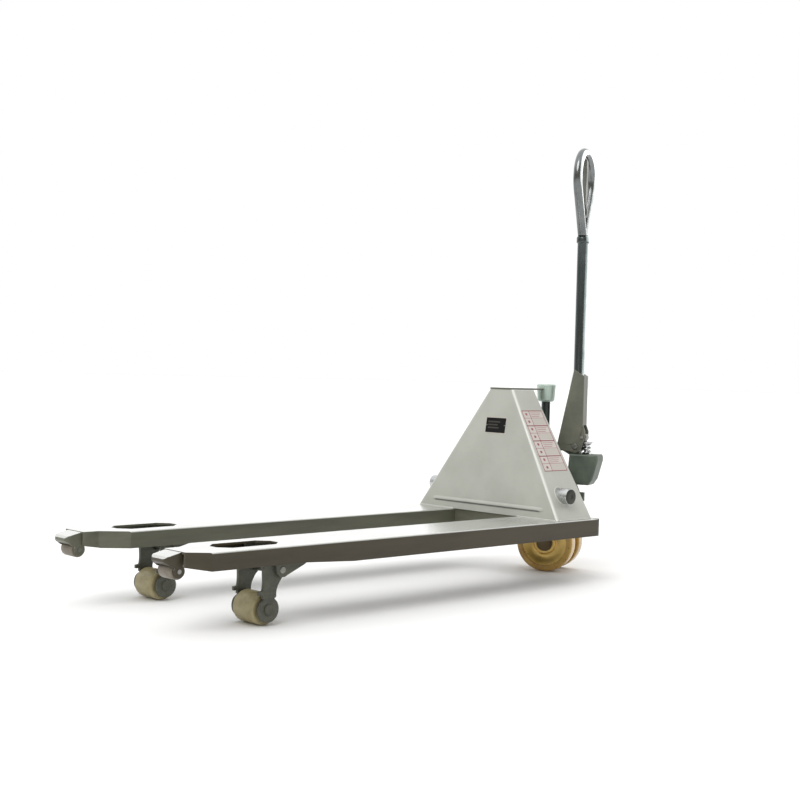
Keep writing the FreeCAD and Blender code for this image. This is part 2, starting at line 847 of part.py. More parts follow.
def pump_base():
    """The foot between the wheels, bored for their axle, with the round seat for the pump."""
    body = new_body("pump_base")
    foot = sketch_on(body, "XZ")
    draw_polygon(foot, [
        ("-wheel_trail - 26", "wheel_radius - 8"),
        ("-wheel_trail - 12", "wheel_radius - 24"),
        ("-wheel_trail + 12", "wheel_radius - 24"),
        ("-wheel_trail + 26", "wheel_radius - 8"),
        ("30", "base_top - 5"),
        ("-44", "base_top - 5"),
    ])
    pad(body, foot, "2 * wheel_inner - 4")
    seat = sketch_on(body, "XY", "base_top - 6")
    draw_circle(seat, "0", "0", "seat_radius")
    pad(body, seat, "6", "along")
    bore = sketch_on(body, "XZ")
    draw_circle(bore, "-wheel_trail", "wheel_radius", "wheel_axle_radius")
    cut(body, bore, "100")
    return put(body, steered=True)


def main_cylinder():
    """The lift cylinder, with its gland ring at the top."""
    body = turned("main_cylinder", "Z", [
        ("0", "base_top"),
        ("cylinder_radius", "base_top"),
        ("cylinder_radius", "cylinder_top - 14"),
        ("cylinder_radius - 3", "cylinder_top - 14"),
        ("cylinder_radius - 3", "cylinder_top"),
        ("ram_radius + %g" % RUNNING_FIT, "cylinder_top"),
        ("ram_radius + %g" % RUNNING_FIT, "cylinder_top - 20"),
        ("ram_radius + 4", "cylinder_top - 20"),
        ("ram_radius + 4", "base_top + 16"),
        ("0", "base_top + 16"),
    ])
    return put(body, steered=True)


def pump_housing():
    """The casting behind the cylinder: clamp, web, handle lug and the pump block with its plunger well."""
    body = new_body("pump_housing")
    clamp = sketch_on(body, "XY", "clamp_bottom")
    draw_circle(clamp, "0", "0", "cylinder_radius + clamp_wall")
    pad(body, clamp, "cylinder_top - 16 - clamp_bottom", "along")
    web = sketch_on(body, "XZ")
    draw_polygon(web, [
        ("-20", "clamp_bottom"),
        ("-84", "clamp_bottom"),
        ("-88", "valve_height - 12"),
        ("-handle_offset - 8", "valve_height - 12"),
        ("-handle_offset - 8", "valve_height + 10"),
        ("-94", "block_bottom + 4"),
        ("-94", "302"),
        ("-68", "304"),
        ("-50", "312"),
        ("-20", "312"),
    ])
    pad(body, web, "2 * web_half")
    lug = sketch_on(body, "XZ")
    draw_polygon(lug, [
        ("-20", "cylinder_top - 18"),
        ("-60", "cylinder_top - 18"),
        ("-block_front", "block_top - 4"),
        ("-handle_offset - 11", "block_top - 4"),
        ("-handle_offset - 11", "handle_pivot + 6"),
        ("-handle_offset - 6", "handle_pivot + 14"),
        ("-handle_offset + 6", "handle_pivot + 14"),
        ("-handle_offset + 20", "cylinder_top - 3"),
        ("-20", "cylinder_top - 3"),
    ])
    pad(body, lug, "2 * ear_inner - 1")
    block = sketch_on(body, "XZ")
    draw_polygon(block, [
        ("-block_front - 3", "block_top"),
        ("-block_rear + 3", "block_top"),
        ("-block_rear", "block_top - 8"),
        ("-block_rear", "block_top - 18"),
        ("-block_rear + 14", "block_bottom + 18"),
        ("-block_rear + 26", "block_bottom"),
        ("-block_front - 28", "block_bottom"),
        ("-block_front - 11", "block_bottom + 14"),
        ("-block_front", "block_top - 38"),
    ])
    pad(body, block, "2 * block_half")
    well = sketch_on(body, "XY", "block_top + 1")
    draw_circle(well, "-plunger_offset", "0", "well_radius")
    cut(body, well, "well_depth + 1", "against")
    guide = sketch_on(body, "XY", "block_top")
    draw_circle(guide, "-plunger_offset", "0", "plunger_radius + %g" % RUNNING_FIT)
    cut(body, guide, "guide_depth", "against")
    barrel = sketch_on(body, "XY", "base_top")
    draw_circle(barrel, "0", "0", "cylinder_radius")
    cut(body, barrel, "cylinder_top", "along")
    bores = sketch_on(body, "XZ")
    draw_circle(bores, "-handle_offset", "handle_pivot", "pin_radius + %g" % RUNNING_FIT)
    draw_circle(bores, "-handle_offset", "valve_height", "valve_pin_radius")
    cut(body, bores, "4 * block_half")
    block_side = number("block_half")
    round_edges(body, "5", lambda edge, middle: abs(abs(middle.y) - block_side) < TOLERANCE)
    return put(body, steered=True)


def plunger():
    """Plunger rod with the round cap that the press roller bears on."""
    body = turned("plunger", "Z", [
        ("0", "plunger_top - plunger_length"),
        ("plunger_radius", "plunger_top - plunger_length"),
        ("plunger_radius", "plunger_top - 5"),
        ("plunger_cap_radius", "plunger_top - 5"),
        ("plunger_cap_radius", "plunger_top - 1"),
        ("plunger_cap_radius - 1", "plunger_top"),
        ("0", "plunger_top"),
    ])
    return put(body, "-plunger_offset", "0", "0", steered=True)


def plunger_spring():
    """The return spring as a stack of separate turns, from the well's floor to the cap."""
    rings = []
    turns = 6
    low = "block_top - well_depth + spring_wire_radius + 0.1"
    high = "plunger_top - 5 - spring_wire_radius - 0.1"
    for i in range(turns):
        turn_ring = doc.addObject("Part::Torus", "spring_turn_%d" % i)
        turn_ring.setExpression("Radius1", bound("spring_radius"))
        turn_ring.setExpression("Radius2", bound("spring_wire_radius"))
        height = "%s + (%s - (%s)) * %d / %d" % (low, high, low, i, turns - 1)
        put(turn_ring, "-plunger_offset", "0", height, steered=True)
        rings.append(turn_ring)
    return group("plunger_spring", rings)


def valve_lever():
    """The lowering valve's lever on the side of the pump web."""
    body = plate("valve_lever", "XZ", [
        ("-6", "-8"),
        ("6", "-8"),
        ("9", "0"),
        ("6", "8"),
        ("-10", "10"),
        ("-33", "9"),
        ("-33", "-16"),
        ("-17", "-18"),
    ], "10", holes=[("0", "0", "valve_pin_radius + %g" % RUNNING_FIT)])
    return put(body, "-handle_offset", "web_half + 5.5", "valve_height", steered=True)


def valve_pin():
    body = ring("valve_pin", "Y", "0", "valve_pin_radius", "-web_half + 2", "web_half + 14")
    return put(body, "-handle_offset", "0", "valve_height", steered=True)


def wheel_axle():
    reach = "wheel_inner + wheel_width + 5"
    body = turned("wheel_axle", "Y", bevelled("0", "wheel_axle_radius", "-(%s)" % reach, reach, "1"))
    return put(body, "-wheel_trail", "0", "wheel_radius", steered=True)


def axle_washer(name, side):
    body = ring("axle_washer_" + name, "Y", "wheel_axle_radius", "washer_radius", "-1.5", "1.5")
    return put(body, "-wheel_trail", "%d * (wheel_inner + wheel_width + 2)" % side, "wheel_radius",
               steered=True)


def wheel_centre(side):
    return "%d * (wheel_inner + wheel_width / 2)" % side


def tyre(name, side):
    half = "wheel_width / 2"
    body = turned("tyre_" + name, "Y", bevelled("tyre_inner_radius", "wheel_radius", "-" + half, half, "4"))
    return put(body, "-wheel_trail", wheel_centre(side), "wheel_radius", steered=True)


def wheel_hub(name, side):
    """Cast wheel centre: rim, thin web and a hub bored for its bearings."""
    half = "wheel_width / 2"
    body = turned("wheel_hub_" + name, "Y", [
        ("-%s + 2" % half, "wheel_bearing_radius"),
        ("%s - 2" % half, "wheel_bearing_radius"),
        ("%s - 2" % half, "wheel_bearing_radius + 8"),
        ("hub_web / 2", "wheel_bearing_radius + 12"),
        ("hub_web / 2", "tyre_inner_radius - 8"),
        ("%s - 4" % half, "tyre_inner_radius - 5"),
        ("%s - 4" % half, "tyre_inner_radius"),
        ("-%s + 4" % half, "tyre_inner_radius"),
        ("-%s + 4" % half, "tyre_inner_radius - 5"),
        ("-hub_web / 2", "tyre_inner_radius - 8"),
        ("-hub_web / 2", "wheel_bearing_radius + 12"),
        ("-%s + 2" % half, "wheel_bearing_radius + 8"),
    ])
    return put(body, "-wheel_trail", wheel_centre(side), "wheel_radius", steered=True)


def wheel_bearings(name, side):
    members = []
    shift = "(wheel_width - wheel_bearing_width - 6) / 2"
    for end in (1, -1):
        bearing = ring("wheel_bearing_%s_%s" % (name, "outer" if end > 0 else "inner"), "Y",
                       "wheel_axle_radius + %g" % RUNNING_FIT, "wheel_bearing_radius",
                       "-wheel_bearing_width / 2", "wheel_bearing_width / 2")
        put(bearing, "-wheel_trail", "%s + %d * %s" % (wheel_centre(side), end * side, shift), "wheel_radius",
            steered=True)
        members.append(bearing)
    return group("wheel_bearings_" + name, members)


# ---------------------------------------------------------------- handle

def handle_bracket():
    """Folded bracket: two ears on the pivot pin, joined by a narrow back on the operator's side."""
    body = new_body("handle_bracket")
    profile = sketch_on(body, "XZ")
    draw_polygon(profile, [
        ("54", "4"),
        ("9", "225"),
        ("-22", "206"),
        ("-22", "62"),
        ("-29", "44"),
        ("-28", "27"),
        ("-25.5", "18"),
        ("-21", "0"),
        ("-19", "-5"),
        ("-11", "-16"),
        ("0", "-20"),
        ("12", "-16"),
        ("24", "-14"),
        ("46", "-14"),
        ("54", "-8"),
    ])
    pad(body, profile, "2 * (ear_inner + ear_plate)")
    throat = sketch_on(body, "XZ")
    draw_polygon(throat, rectangle("-ear_inner - %g" % RUNNING_FIT, "-40", "80", "240"))
    cut(body, throat, "2 * ear_inner")
    lower_back = sketch_on(body, "XZ")
    draw_polygon(lower_back, rectangle("-40", "-40", "-ear_inner + 1", "62"))
    cut(body, lower_back, "2 * ear_inner")
    pin_bores = sketch_on(body, "XZ")
    draw_circle(pin_bores, "0", "0", "pin_radius")
    draw_circle(pin_bores, "-press_offset", "press_rise", "press_pin_radius")
    cut(body, pin_bores, "4 * ear_inner")
    return put(body, "-handle_offset", "0", "handle_pivot", steered=True)


def bracket_pins():
    """The handle's pivot pin and the press roller's thinner pin, both held in the bracket's ears."""
    reach = "(ear_inner + ear_plate + 4)"
    pivot = turned("bracket_pivot_pin", "Y", bevelled("0", "pin_radius", "-" + reach, reach, "1"))
    put(pivot, "-handle_offset", "0", "handle_pivot", steered=True)
    roller_pin = turned("bracket_roller_pin", "Y", bevelled("0", "press_pin_radius", "-" + reach, reach, "1"))
    put(roller_pin, "-handle_offset - press_offset", "0", "handle_pivot + press_rise", steered=True)
    return group("bracket_pins", [pivot, roller_pin])


def press_roller():
    body = turned("press_roller", "Y", bevelled(
        "press_pin_radius + %g" % RUNNING_FIT, "press_radius", "-ear_inner + 2", "ear_inner - 2", "1"))
    return put(body, "-handle_offset - press_offset", "0", "handle_pivot + press_rise", steered=True)


def handle_tube():
    """The long tube with a thicker plug end in the bracket and a collar under the loop."""
    body = turned("handle_tube", "Z", [
        ("tube_bore", "tube_plug_bottom"),
        ("ear_inner", "tube_plug_bottom"),
        ("ear_inner", "tube_plug_top"),
        ("tube_radius", "tube_plug_top + 4"),
        ("tube_radius", "tube_top - 10"),
        ("tube_radius + 3", "tube_top - 8"),
        ("tube_radius + 3", "tube_top + 6"),
        ("tube_radius", "tube_top + 12"),
        ("tube_bore", "tube_top + 12"),
    ])
    return put(body, "-handle_offset", "0", "0", steered=True)


def handle_loop():
    """A closed teardrop grip: one round arc and two straight legs that run down into the collar."""
    radius = number("loop_half")
    centre = number("loop_centre")
    foot = number("tube_top") + 12
    foot_half = number("loop_foot_half")
    drop = centre - foot
    lean = math.asin(radius / math.hypot(drop, foot_half)) - math.atan2(foot_half, drop)
    leg = math.sqrt(drop ** 2 + foot_half ** 2 - radius ** 2)
    bar = number("loop_bar")
    arc = doc.addObject("Part::Torus", "loop_arc")
    arc.setExpression("Radius1", bound("loop_half"))
    arc.setExpression("Radius2", bound("loop_bar"))
    arc.Angle3 = 180 + 2 * math.degrees(lean)
    start = FreeCAD.Rotation(FreeCAD.Vector(1, 0, 0), -math.degrees(lean))
    arc.Placement = FreeCAD.Placement(
        FreeCAD.Vector(0, 0, centre),
        start.multiply(FreeCAD.Rotation(FreeCAD.Vector(0, 1, 0), FreeCAD.Vector(0, 0, 1),
                                        FreeCAD.Vector(1, 0, 0), "XYZ")))
    legs = []
    for sign in (1, -1):
        part = doc.addObject("Part::Cylinder", "loop_leg_left" if sign > 0 else "loop_leg_right")
        part.setExpression("Radius", bound("loop_bar"))
        part.Height = leg
        part.Placement = FreeCAD.Placement(
            FreeCAD.Vector(0, sign * foot_half, foot),
            FreeCAD.Rotation(FreeCAD.Vector(1, 0, 0), -sign * math.degrees(lean)))
        legs.append(part)
    ends = doc.addObject("Part::Box", "loop_trim")
    ends.Length = 8 * bar
    ends.Width = 8 * bar
    ends.Height = 4 * bar
    ends.Placement.Base = FreeCAD.Vector(-4 * bar, -4 * bar, foot - 4 * bar)
    whole = doc.addObject("Part::MultiFuse", "loop_whole")
    whole.Shapes = [arc] + legs
    channel = doc.addObject("Part::Cylinder", "loop_channel")
    channel.Radius = number("pull_rod_radius") + 0.7
    channel.Height = 8 * bar
    channel.Placement.Base = FreeCAD.Vector(number("pull_rod_offset"), 0, foot - bar)
    pin_bore = doc.addObject("Part::Cylinder", "loop_pin_bore")
    pin_bore.setExpression("Radius", bound("lever_pin_radius"))
    pin_bore.setExpression("Height", bound("2 * lever_pin_reach"))
    pin_bore.Placement = FreeCAD.Placement(
        FreeCAD.Vector(0, -number("lever_pin_reach"), number("lever_pivot")),
        FreeCAD.Rotation(FreeCAD.Vector(1, 0, 0), -90))
    tools = doc.addObject("Part::MultiFuse", "loop_tools")
    tools.Shapes = [ends, channel, pin_bore]
    loop = doc.addObject("Part::Cut", "handle_loop")
    loop.Base = whole
    loop.Tool = tools
    loop.Label = "handle_loop"
    doc.recompute()
    return put(loop, "-handle_offset", "0", "0", steered=True)


def release_lever():
    """The flat control lever inside the grip, on a cross pin, with a nose in front above the pull rod."""
    body = plate("release_lever", "XZ", [
        ("-6", "-12"),
        ("12", "-12"),
        ("13", "-3"),
        ("11", "8"),
        ("6", "30"),
        ("5", "120"),
        ("9", "152"),
        ("2", "160"),
        ("-7", "156"),
        ("-8", "120"),
        ("-6", "30"),
        ("-11", "8"),
        ("-11", "-4"),
    ], "16", holes=[("0", "0", "lever_pin_radius + %g" % RUNNING_FIT)])
    return put(body, "-handle_offset", "0", "lever_pivot", steered=True)


def lever_pin():
    body = ring("lever_pin", "Y", "0", "lever_pin_radius", "-lever_pin_reach", "lever_pin_reach")
    return put(body, "-handle_offset", "0", "lever_pivot", steered=True)


def pull_rod():
    """The thin rod inside the handle tube, from the release lever's nose down to the bracket."""
    body = ring("pull_rod", "Z", "0", "pull_rod_radius", "tube_plug_bottom + 2", "lever_pivot - 13.5")
    return put(body, "-handle_offset + pull_rod_offset", "0", "0", steered=True)


# ---------------------------------------------------------------- build and write

for side_name, sign in SIDES:
    fork(side_name, sign)
    fork_tip(side_name, sign)
    entry_roller(side_name, sign)
    push_rod(side_name, sign)
    rod_pins(side_name, sign)
    load_arm(side_name, sign, 1)
    load_arm(side_name, sign, -1)
    roller_axle(side_name, sign)
    load_roller(side_name, sign)
    roller_bearings(side_name, sign)
    tyre(side_name, sign)
    wheel_hub(side_name, sign)
    wheel_bearings(side_name, sign)

group("entry_pins", [entry_pin(*each) for each in SIDES])
group("fork_end_plates", [fork_end_plate(*each) for each in SIDES])
group("pivot_lugs", [pivot_lug(*each, lateral) for each in SIDES for lateral in (1, -1)])
group("arm_pivots", [arm_pivot(*each) for each in SIDES])
group("pivot_spacers", [pivot_spacer(*each) for each in SIDES])
group("rocker_bosses", [rocker_boss(*each) for each in SIDES])
group("cradle_arms", [cradle_arm(*each) for each in SIDES])
group("rod_levers", [rod_lever(*each) for each in SIDES])
group("axle_washers", [axle_washer(*each) for each in SIDES])

for make in (hump_cover, hump_top_plate, ram_head, ram, cross_member, rocker_shaft, torsion_tube,
             thrust_carrier, thrust_bearing, pump_base, main_cylinder, pump_housing, plunger,
             plunger_spring, valve_lever, valve_pin, wheel_axle, handle_bracket, bracket_pins,
             press_roller, handle_tube, handle_loop, release_lever, lever_pin, pull_rod):
    make()

doc.recompute()
for item in doc.Objects:
    if "Invalid" in item.State or "Error" in item.State:
        raise RuntimeError("%s failed: %s" % (item.Name, item.State))

os.makedirs("parts", exist_ok=True)
whole_box = FreeCAD.BoundBox()
for piece in SUB_PARTS:
    shape = piece.Shape
    if shape.isNull() or not shape.isValid():
        raise RuntimeError(piece.Label + " has no valid shape")
    shape.exportStep(os.path.join("parts", piece.Label + ".step"))
    whole_box.add(shape.optimalBoundingBox(False))
print(len(SUB_PARTS), "sub-parts; the truck spans", whole_box)
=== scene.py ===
import json
import math

import bmesh
import bpy
from mathutils import Matrix, Vector


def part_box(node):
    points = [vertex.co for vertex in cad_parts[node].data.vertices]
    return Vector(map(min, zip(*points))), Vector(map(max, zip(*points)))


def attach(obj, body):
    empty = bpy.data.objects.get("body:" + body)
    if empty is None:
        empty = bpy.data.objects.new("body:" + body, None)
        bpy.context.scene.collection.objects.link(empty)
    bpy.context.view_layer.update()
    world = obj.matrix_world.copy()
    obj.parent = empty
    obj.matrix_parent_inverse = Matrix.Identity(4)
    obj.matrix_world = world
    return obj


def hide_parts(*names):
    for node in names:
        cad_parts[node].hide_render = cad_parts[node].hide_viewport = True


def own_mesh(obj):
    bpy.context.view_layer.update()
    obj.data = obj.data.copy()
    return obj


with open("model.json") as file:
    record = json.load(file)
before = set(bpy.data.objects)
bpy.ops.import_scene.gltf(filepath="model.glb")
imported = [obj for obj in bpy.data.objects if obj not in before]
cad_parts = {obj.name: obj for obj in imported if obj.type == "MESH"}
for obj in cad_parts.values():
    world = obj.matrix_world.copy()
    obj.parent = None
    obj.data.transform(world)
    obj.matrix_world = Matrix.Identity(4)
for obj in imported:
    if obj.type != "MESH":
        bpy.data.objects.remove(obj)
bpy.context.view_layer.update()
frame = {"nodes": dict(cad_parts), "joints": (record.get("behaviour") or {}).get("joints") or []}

# A hand pallet truck in metres: +X towards the fork tips, +Y to the left fork, +Z up from the floor.
MM = 0.001
JOINTS = {joint["name"]: joint for joint in frame["joints"]}
RAM_LOW, RAM_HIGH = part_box("ram")
RAM_X = (RAM_LOW.x + RAM_HIGH.x) / 2
FORK_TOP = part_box("fork_left")[1].z


def truck(x, y, z):
    """A point of the truck in millimetres, x from the ram axis, as metres in the frame."""
    return Vector((RAM_X + x * MM, y * MM, z * MM))


# ---------------------------------------------------------------- materials

class Graph:
    """A short way to write a material's nodes."""

    def __init__(self, name):
        self.material = bpy.data.materials.new(name)
        self.material.use_nodes = True
        self.tree = self.material.node_tree
        self.shader = self.tree.nodes["Principled BSDF"]
        self.place = self.add("ShaderNodeTexCoord").outputs["Object"]
        self.normal = self.add("ShaderNodeTexCoord").outputs["Normal"]

    def add(self, kind, **settings):
        node = self.tree.nodes.new(kind)
        for key, value in settings.items():
            setattr(node, key, value)
        return node

    def wire(self, source, target):
        self.tree.links.new(source, target)

    def feed(self, value, socket):
        """A link if the value is an output, and the socket's own number or colour otherwise."""
        if isinstance(value, bpy.types.NodeSocket):
            self.wire(value, socket)
        else:
            socket.default_value = value

    def noise(self, scale, detail=4.0, stretch=(1, 1, 1), roughness=0.55):
        """A noise value around 0.5, in cycles per metre, stretched along the axes."""
        mapping = self.add("ShaderNodeMapping")
        mapping.inputs["Scale"].default_value = stretch
        self.wire(self.place, mapping.inputs["Vector"])
        node = self.add("ShaderNodeTexNoise")
        node.inputs["Scale"].default_value = scale
        node.inputs["Detail"].default_value = detail
        node.inputs["Roughness"].default_value = roughness
        self.wire(mapping.outputs["Vector"], node.inputs["Vector"])
        return node.outputs["Fac"]

    def ramp(self, value, low, high, start=0.0, end=1.0):
        """The value rescaled from low..high to start..end, and held there outside."""
        node = self.add("ShaderNodeMapRange", clamp=True)
        self.feed(value, node.inputs["Value"])
        node.inputs["From Min"].default_value = low
        node.inputs["From Max"].default_value = high
        node.inputs["To Min"].default_value = start
        node.inputs["To Max"].default_value = end
        return node.outputs["Result"]

    def sum(self, first, second, operation="ADD"):
        node = self.add("ShaderNodeMath", operation=operation)
        self.feed(first, node.inputs[0])
        self.feed(second, node.inputs[1])
        return node.outputs[0]

    def mix(self, factor, first, second, blend="MIX"):
        node = self.add("ShaderNodeMix", data_type="RGBA", blend_type=blend)
        self.feed(factor, node.inputs["Factor"])
        self.feed(colour(first), node.inputs["A"])
        self.feed(colour(second), node.inputs["B"])
        return node.outputs["Result"]

    def part_of(self, vector, axis):
        node = self.add("ShaderNodeSeparateXYZ")
        self.wire(vector, node.inputs[0])
        return node.outputs[axis]

    def edges(self, low=0.52, high=0.60):
        """Near 1 on outside edges, and where the mesh's own painted fold highlight says so, 0 elsewhere."""
        sharp = self.ramp(self.add("ShaderNodeNewGeometry").outputs["Pointiness"], low, high)
        wear_and_painted_light = self.add("ShaderNodeAttribute", attribute_name="wear_and_painted_light").outputs["Fac"]
        return self.sum(sharp, wear_and_painted_light, "MAXIMUM")

    def radius(self):
        """The distance from the piece's own Z axis."""
        flat = self.add("ShaderNodeVectorMath", operation="MULTIPLY")
        self.wire(self.place, flat.inputs[0])
        flat.inputs[1].default_value = (1, 1, 0)
        length = self.add("ShaderNodeVectorMath", operation="LENGTH")
        self.wire(flat.outputs["Vector"], length.inputs[0])
        return length.outputs["Value"]

    def rings(self, per_metre):
        """Fine lathe rings round the piece's own Z axis."""
        wave = self.sum(self.radius(), 2 * math.pi * per_metre, "MULTIPLY")
        return self.ramp(self.sum(wave, 0.0, "SINE"), -1.0, 1.0)

    def bump(self, height, strength, distance):
        node = self.add("ShaderNodeBump")
        node.inputs["Strength"].default_value = strength
        node.inputs["Distance"].default_value = distance
        self.wire(height, node.inputs["Height"])
        self.wire(node.outputs["Normal"], self.shader.inputs["Normal"])

    def finish(self, base, roughness, metallic=0.0, coat=0.0, coat_roughness=0.1, specular=0.5):
        self.feed(colour(base), self.shader.inputs["Base Color"])
        self.feed(roughness, self.shader.inputs["Roughness"])
        self.feed(metallic, self.shader.inputs["Metallic"])
        self.shader.inputs["Coat Weight"].default_value = coat
        self.shader.inputs["Coat Roughness"].default_value = coat_roughness
        self.shader.inputs["Specular IOR Level"].default_value = specular
        return self.material


def colour(value):
    """An output unchanged, or three linear numbers with full opacity."""
    return value if isinstance(value, bpy.types.NodeSocket) else (*value, 1.0)


def steel(name, base, dark, roughness, metallic, grain):
    """Satin steel: drawn grain, soft blotches, faint handling marks, bright rubbed edges, a highlight
    painted along the mesh's folds and a shadow painted under its bead.
    """
    graph = Graph(name)
    blotch = graph.noise(9, 5)
    fine = graph.noise(70, 3, grain)
    tone = graph.mix(graph.ramp(blotch, 0.35, 0.65), dark, base)
    marks = graph.ramp(graph.noise(38, 6, (1, 1, 2.5)), 0.60, 0.74, 0.0, 0.18)
    tone = graph.mix(marks, tone, [0.8 * part for part in dark])
    # rubbed edges, and the painted fold highlight where the mesh carries it, lightened towards pale steel
    wear_and_painted_light = graph.mix(graph.sum(graph.edges(), 0.6, "MULTIPLY"), tone, (0.88, 0.88, 0.85))
    # painted shadow: darkened where the mesh carries the shade painted under its bead
    bead_shadow = graph.add("ShaderNodeAttribute", attribute_name="bead_shadow").outputs["Fac"]
    wear_and_painted_light = graph.mix(bead_shadow, wear_and_painted_light, [0.16 * part for part in dark])
    graph.bump(graph.sum(fine, graph.noise(260, 2)), 0.10, 0.0006)
    rough = graph.sum(graph.ramp(fine, 0.3, 0.7, -0.07, 0.09),
                      graph.ramp(blotch, 0.3, 0.7, roughness, roughness + 0.1))
    return graph.finish(wear_and_painted_light, rough, metallic)


def fork_steel(name, flank_shade):
    """A bright rubbed top, with duller sides and slot walls painted dark as shade and dark reflection."""
    graph = Graph(name)
    blotch = graph.noise(7, 5)
    fine = graph.noise(60, 4, (0.5, 12, 12))
    top = graph.mix(graph.ramp(blotch, 0.35, 0.65), (0.62, 0.63, 0.60), (0.70, 0.71, 0.69))
    scraped = graph.ramp(graph.noise(24, 6, (0.15, 3, 1)), 0.55, 0.75, 0.0, 0.4)
    top = graph.mix(scraped, top, (0.54, 0.55, 0.52))
    streak = graph.ramp(graph.noise(5, 5, (0.7, 2, 6)), 0.35, 0.7)
    # painted shade and reflection: every face that is not turned up, outer sides and slot walls alike,
    # takes the darker side colour
    side = graph.mix(streak, flank_shade, [0.66 * part for part in flank_shade])
    shade = graph.ramp(graph.part_of(graph.normal, "Z"), 0.15, 0.85, 1.0, 0.0)
    tone = graph.mix(shade, top, side)
    tone = graph.mix(graph.sum(graph.edges(0.55, 0.66), 0.08, "MULTIPLY"), tone, (0.80, 0.80, 0.76))
    graph.bump(fine, 0.012, 0.0006)
    rough = graph.sum(graph.ramp(fine, 0.3, 0.7, -0.02, 0.03), graph.ramp(shade, 0.0, 1.0, 0.20, 0.42))
    return graph.finish(tone, rough, graph.ramp(shade, 0.0, 1.0, 0.75, 0.1))


def painted(name, base, dark, roughness, chips=(0.42, 0.42, 0.40), bump=0.35, metallic=0.0):
    """Paint over a rough casting or plate, rubbed thin on its edges, with grime in broad patches."""
    graph = Graph(name)
    patch = graph.noise(14, 6)
    speckle = graph.noise(180, 4)
    tone = graph.mix(graph.ramp(patch, 0.38, 0.68), dark, base)
    tone = graph.mix(graph.ramp(speckle, 0.62, 0.75, 0.0, 0.35), tone, [0.6 * part for part in dark])
    rubbed = graph.sum(graph.edges(0.53, 0.62), graph.ramp(speckle, 0.4, 0.6), "MULTIPLY")
    tone = graph.mix(graph.sum(rubbed, 0.7, "MULTIPLY"), tone, chips)
    graph.bump(graph.sum(graph.noise(60, 5), speckle), bump, 0.0008)
    return graph.finish(tone, graph.ramp(patch, 0.3, 0.7, roughness, roughness + 0.15), metallic)


def polished(name, base, roughness, haze):
    """Bright steel with faint hairline scratches and a little haze."""
    graph = Graph(name)
    lines = graph.noise(120, 3, (1, 1, 0.08))
    cloud = graph.noise(18, 4)
    tone = graph.mix(graph.ramp(cloud, 0.35, 0.7), base, haze)
    graph.bump(lines, 0.05, 0.0003)
    rough = graph.sum(graph.ramp(lines, 0.35, 0.65, 0.0, 0.08),
                      graph.ramp(cloud, 0.3, 0.7, roughness, roughness + 0.08))
    return graph.finish(tone, rough, 1.0)


def nylon(name, base, dirt):
    """Turned nylon: faint lathe rings, scuffs and a little dirt ground into the tread."""
    graph = Graph(name)
    scuff = graph.noise(40, 6)
    tone = graph.mix(graph.ramp(scuff, 0.42, 0.72, 0.0, 0.75), base, dirt)
    tone = graph.mix(graph.ramp(graph.noise(9, 3), 0.4, 0.7, 0.0, 0.4), tone, [1.1 * part for part in base])
    turned = graph.noise(30, 2, (0.1, 0.1, 12))
    graph.bump(graph.sum(turned, scuff), 0.15, 0.0005)
    graph.shader.inputs["Subsurface Weight"].default_value = 0.08
    graph.shader.inputs["Subsurface Radius"].default_value = (0.006, 0.004, 0.002)
    return graph.finish(tone, graph.ramp(scuff, 0.3, 0.7, 0.32, 0.52))


def polyurethane(name, base, deep, ring_bump, shine):
    """Cast amber: glossy, cloudy inside, turned in fine rings, with dust that dulls it in patches."""
    graph = Graph(name)
    cloud = graph.noise(16, 5)
    dust = graph.noise(50, 6)
    tone = graph.mix(graph.ramp(cloud, 0.35, 0.7), deep, base)
    tone = graph.mix(graph.ramp(dust, 0.58, 0.8, 0.0, 0.35), tone, (0.42, 0.34, 0.22))
    graph.bump(graph.sum(graph.rings(420), dust), ring_bump, 0.0005)
    graph.wire(graph.add("ShaderNodeTangent", direction_type="RADIAL", axis="Z").outputs[0],
               graph.shader.inputs["Tangent"])
    graph.shader.inputs["Anisotropic"].default_value = 0.8
    return graph.finish(tone, graph.ramp(dust, 0.35, 0.75, 0.26, 0.40), shine, coat=0.3)


def film(name, base, roughness=0.38, specular=0.5):
    """Printed film: nearly even colour, slightly faded and scuffed."""
    graph = Graph(name)
    wear = graph.noise(90, 5)
    scuffed = [0.75 * part + 0.2 * base[0] for part in base]
    tone = graph.mix(graph.ramp(wear, 0.5, 0.8, 0.0, 0.35), base, scuffed)
    graph.bump(wear, 0.06, 0.0002)
    return graph.finish(tone, graph.ramp(wear, 0.3, 0.7, roughness, roughness + 0.15), specular=specular)


def cap_steel(name):
    """A bright top, with the faces that are not turned up, its cut edge among them, painted dark as shade.
    """
    graph = Graph(name)
    blotch = graph.noise(16, 5)
    top = graph.mix(graph.ramp(blotch, 0.35, 0.65), (0.50, 0.51, 0.47), (0.60, 0.61, 0.57))
    # painted shade: the edge and underside of the plate are painted dark
    upright = graph.ramp(graph.part_of(graph.normal, "Z"), 0.3, 0.85, 1.0, 0.0)
    tone = graph.mix(upright, top, (0.10, 0.102, 0.082))
    graph.bump(blotch, 0.05, 0.0005)
    return graph.finish(tone, graph.ramp(blotch, 0.3, 0.7, 0.32, 0.42), 0.2)


HUMP = steel("hump_steel_look", (0.445, 0.455, 0.412), (0.405, 0.415, 0.375), 0.36, 0.15, (3, 3, 18))
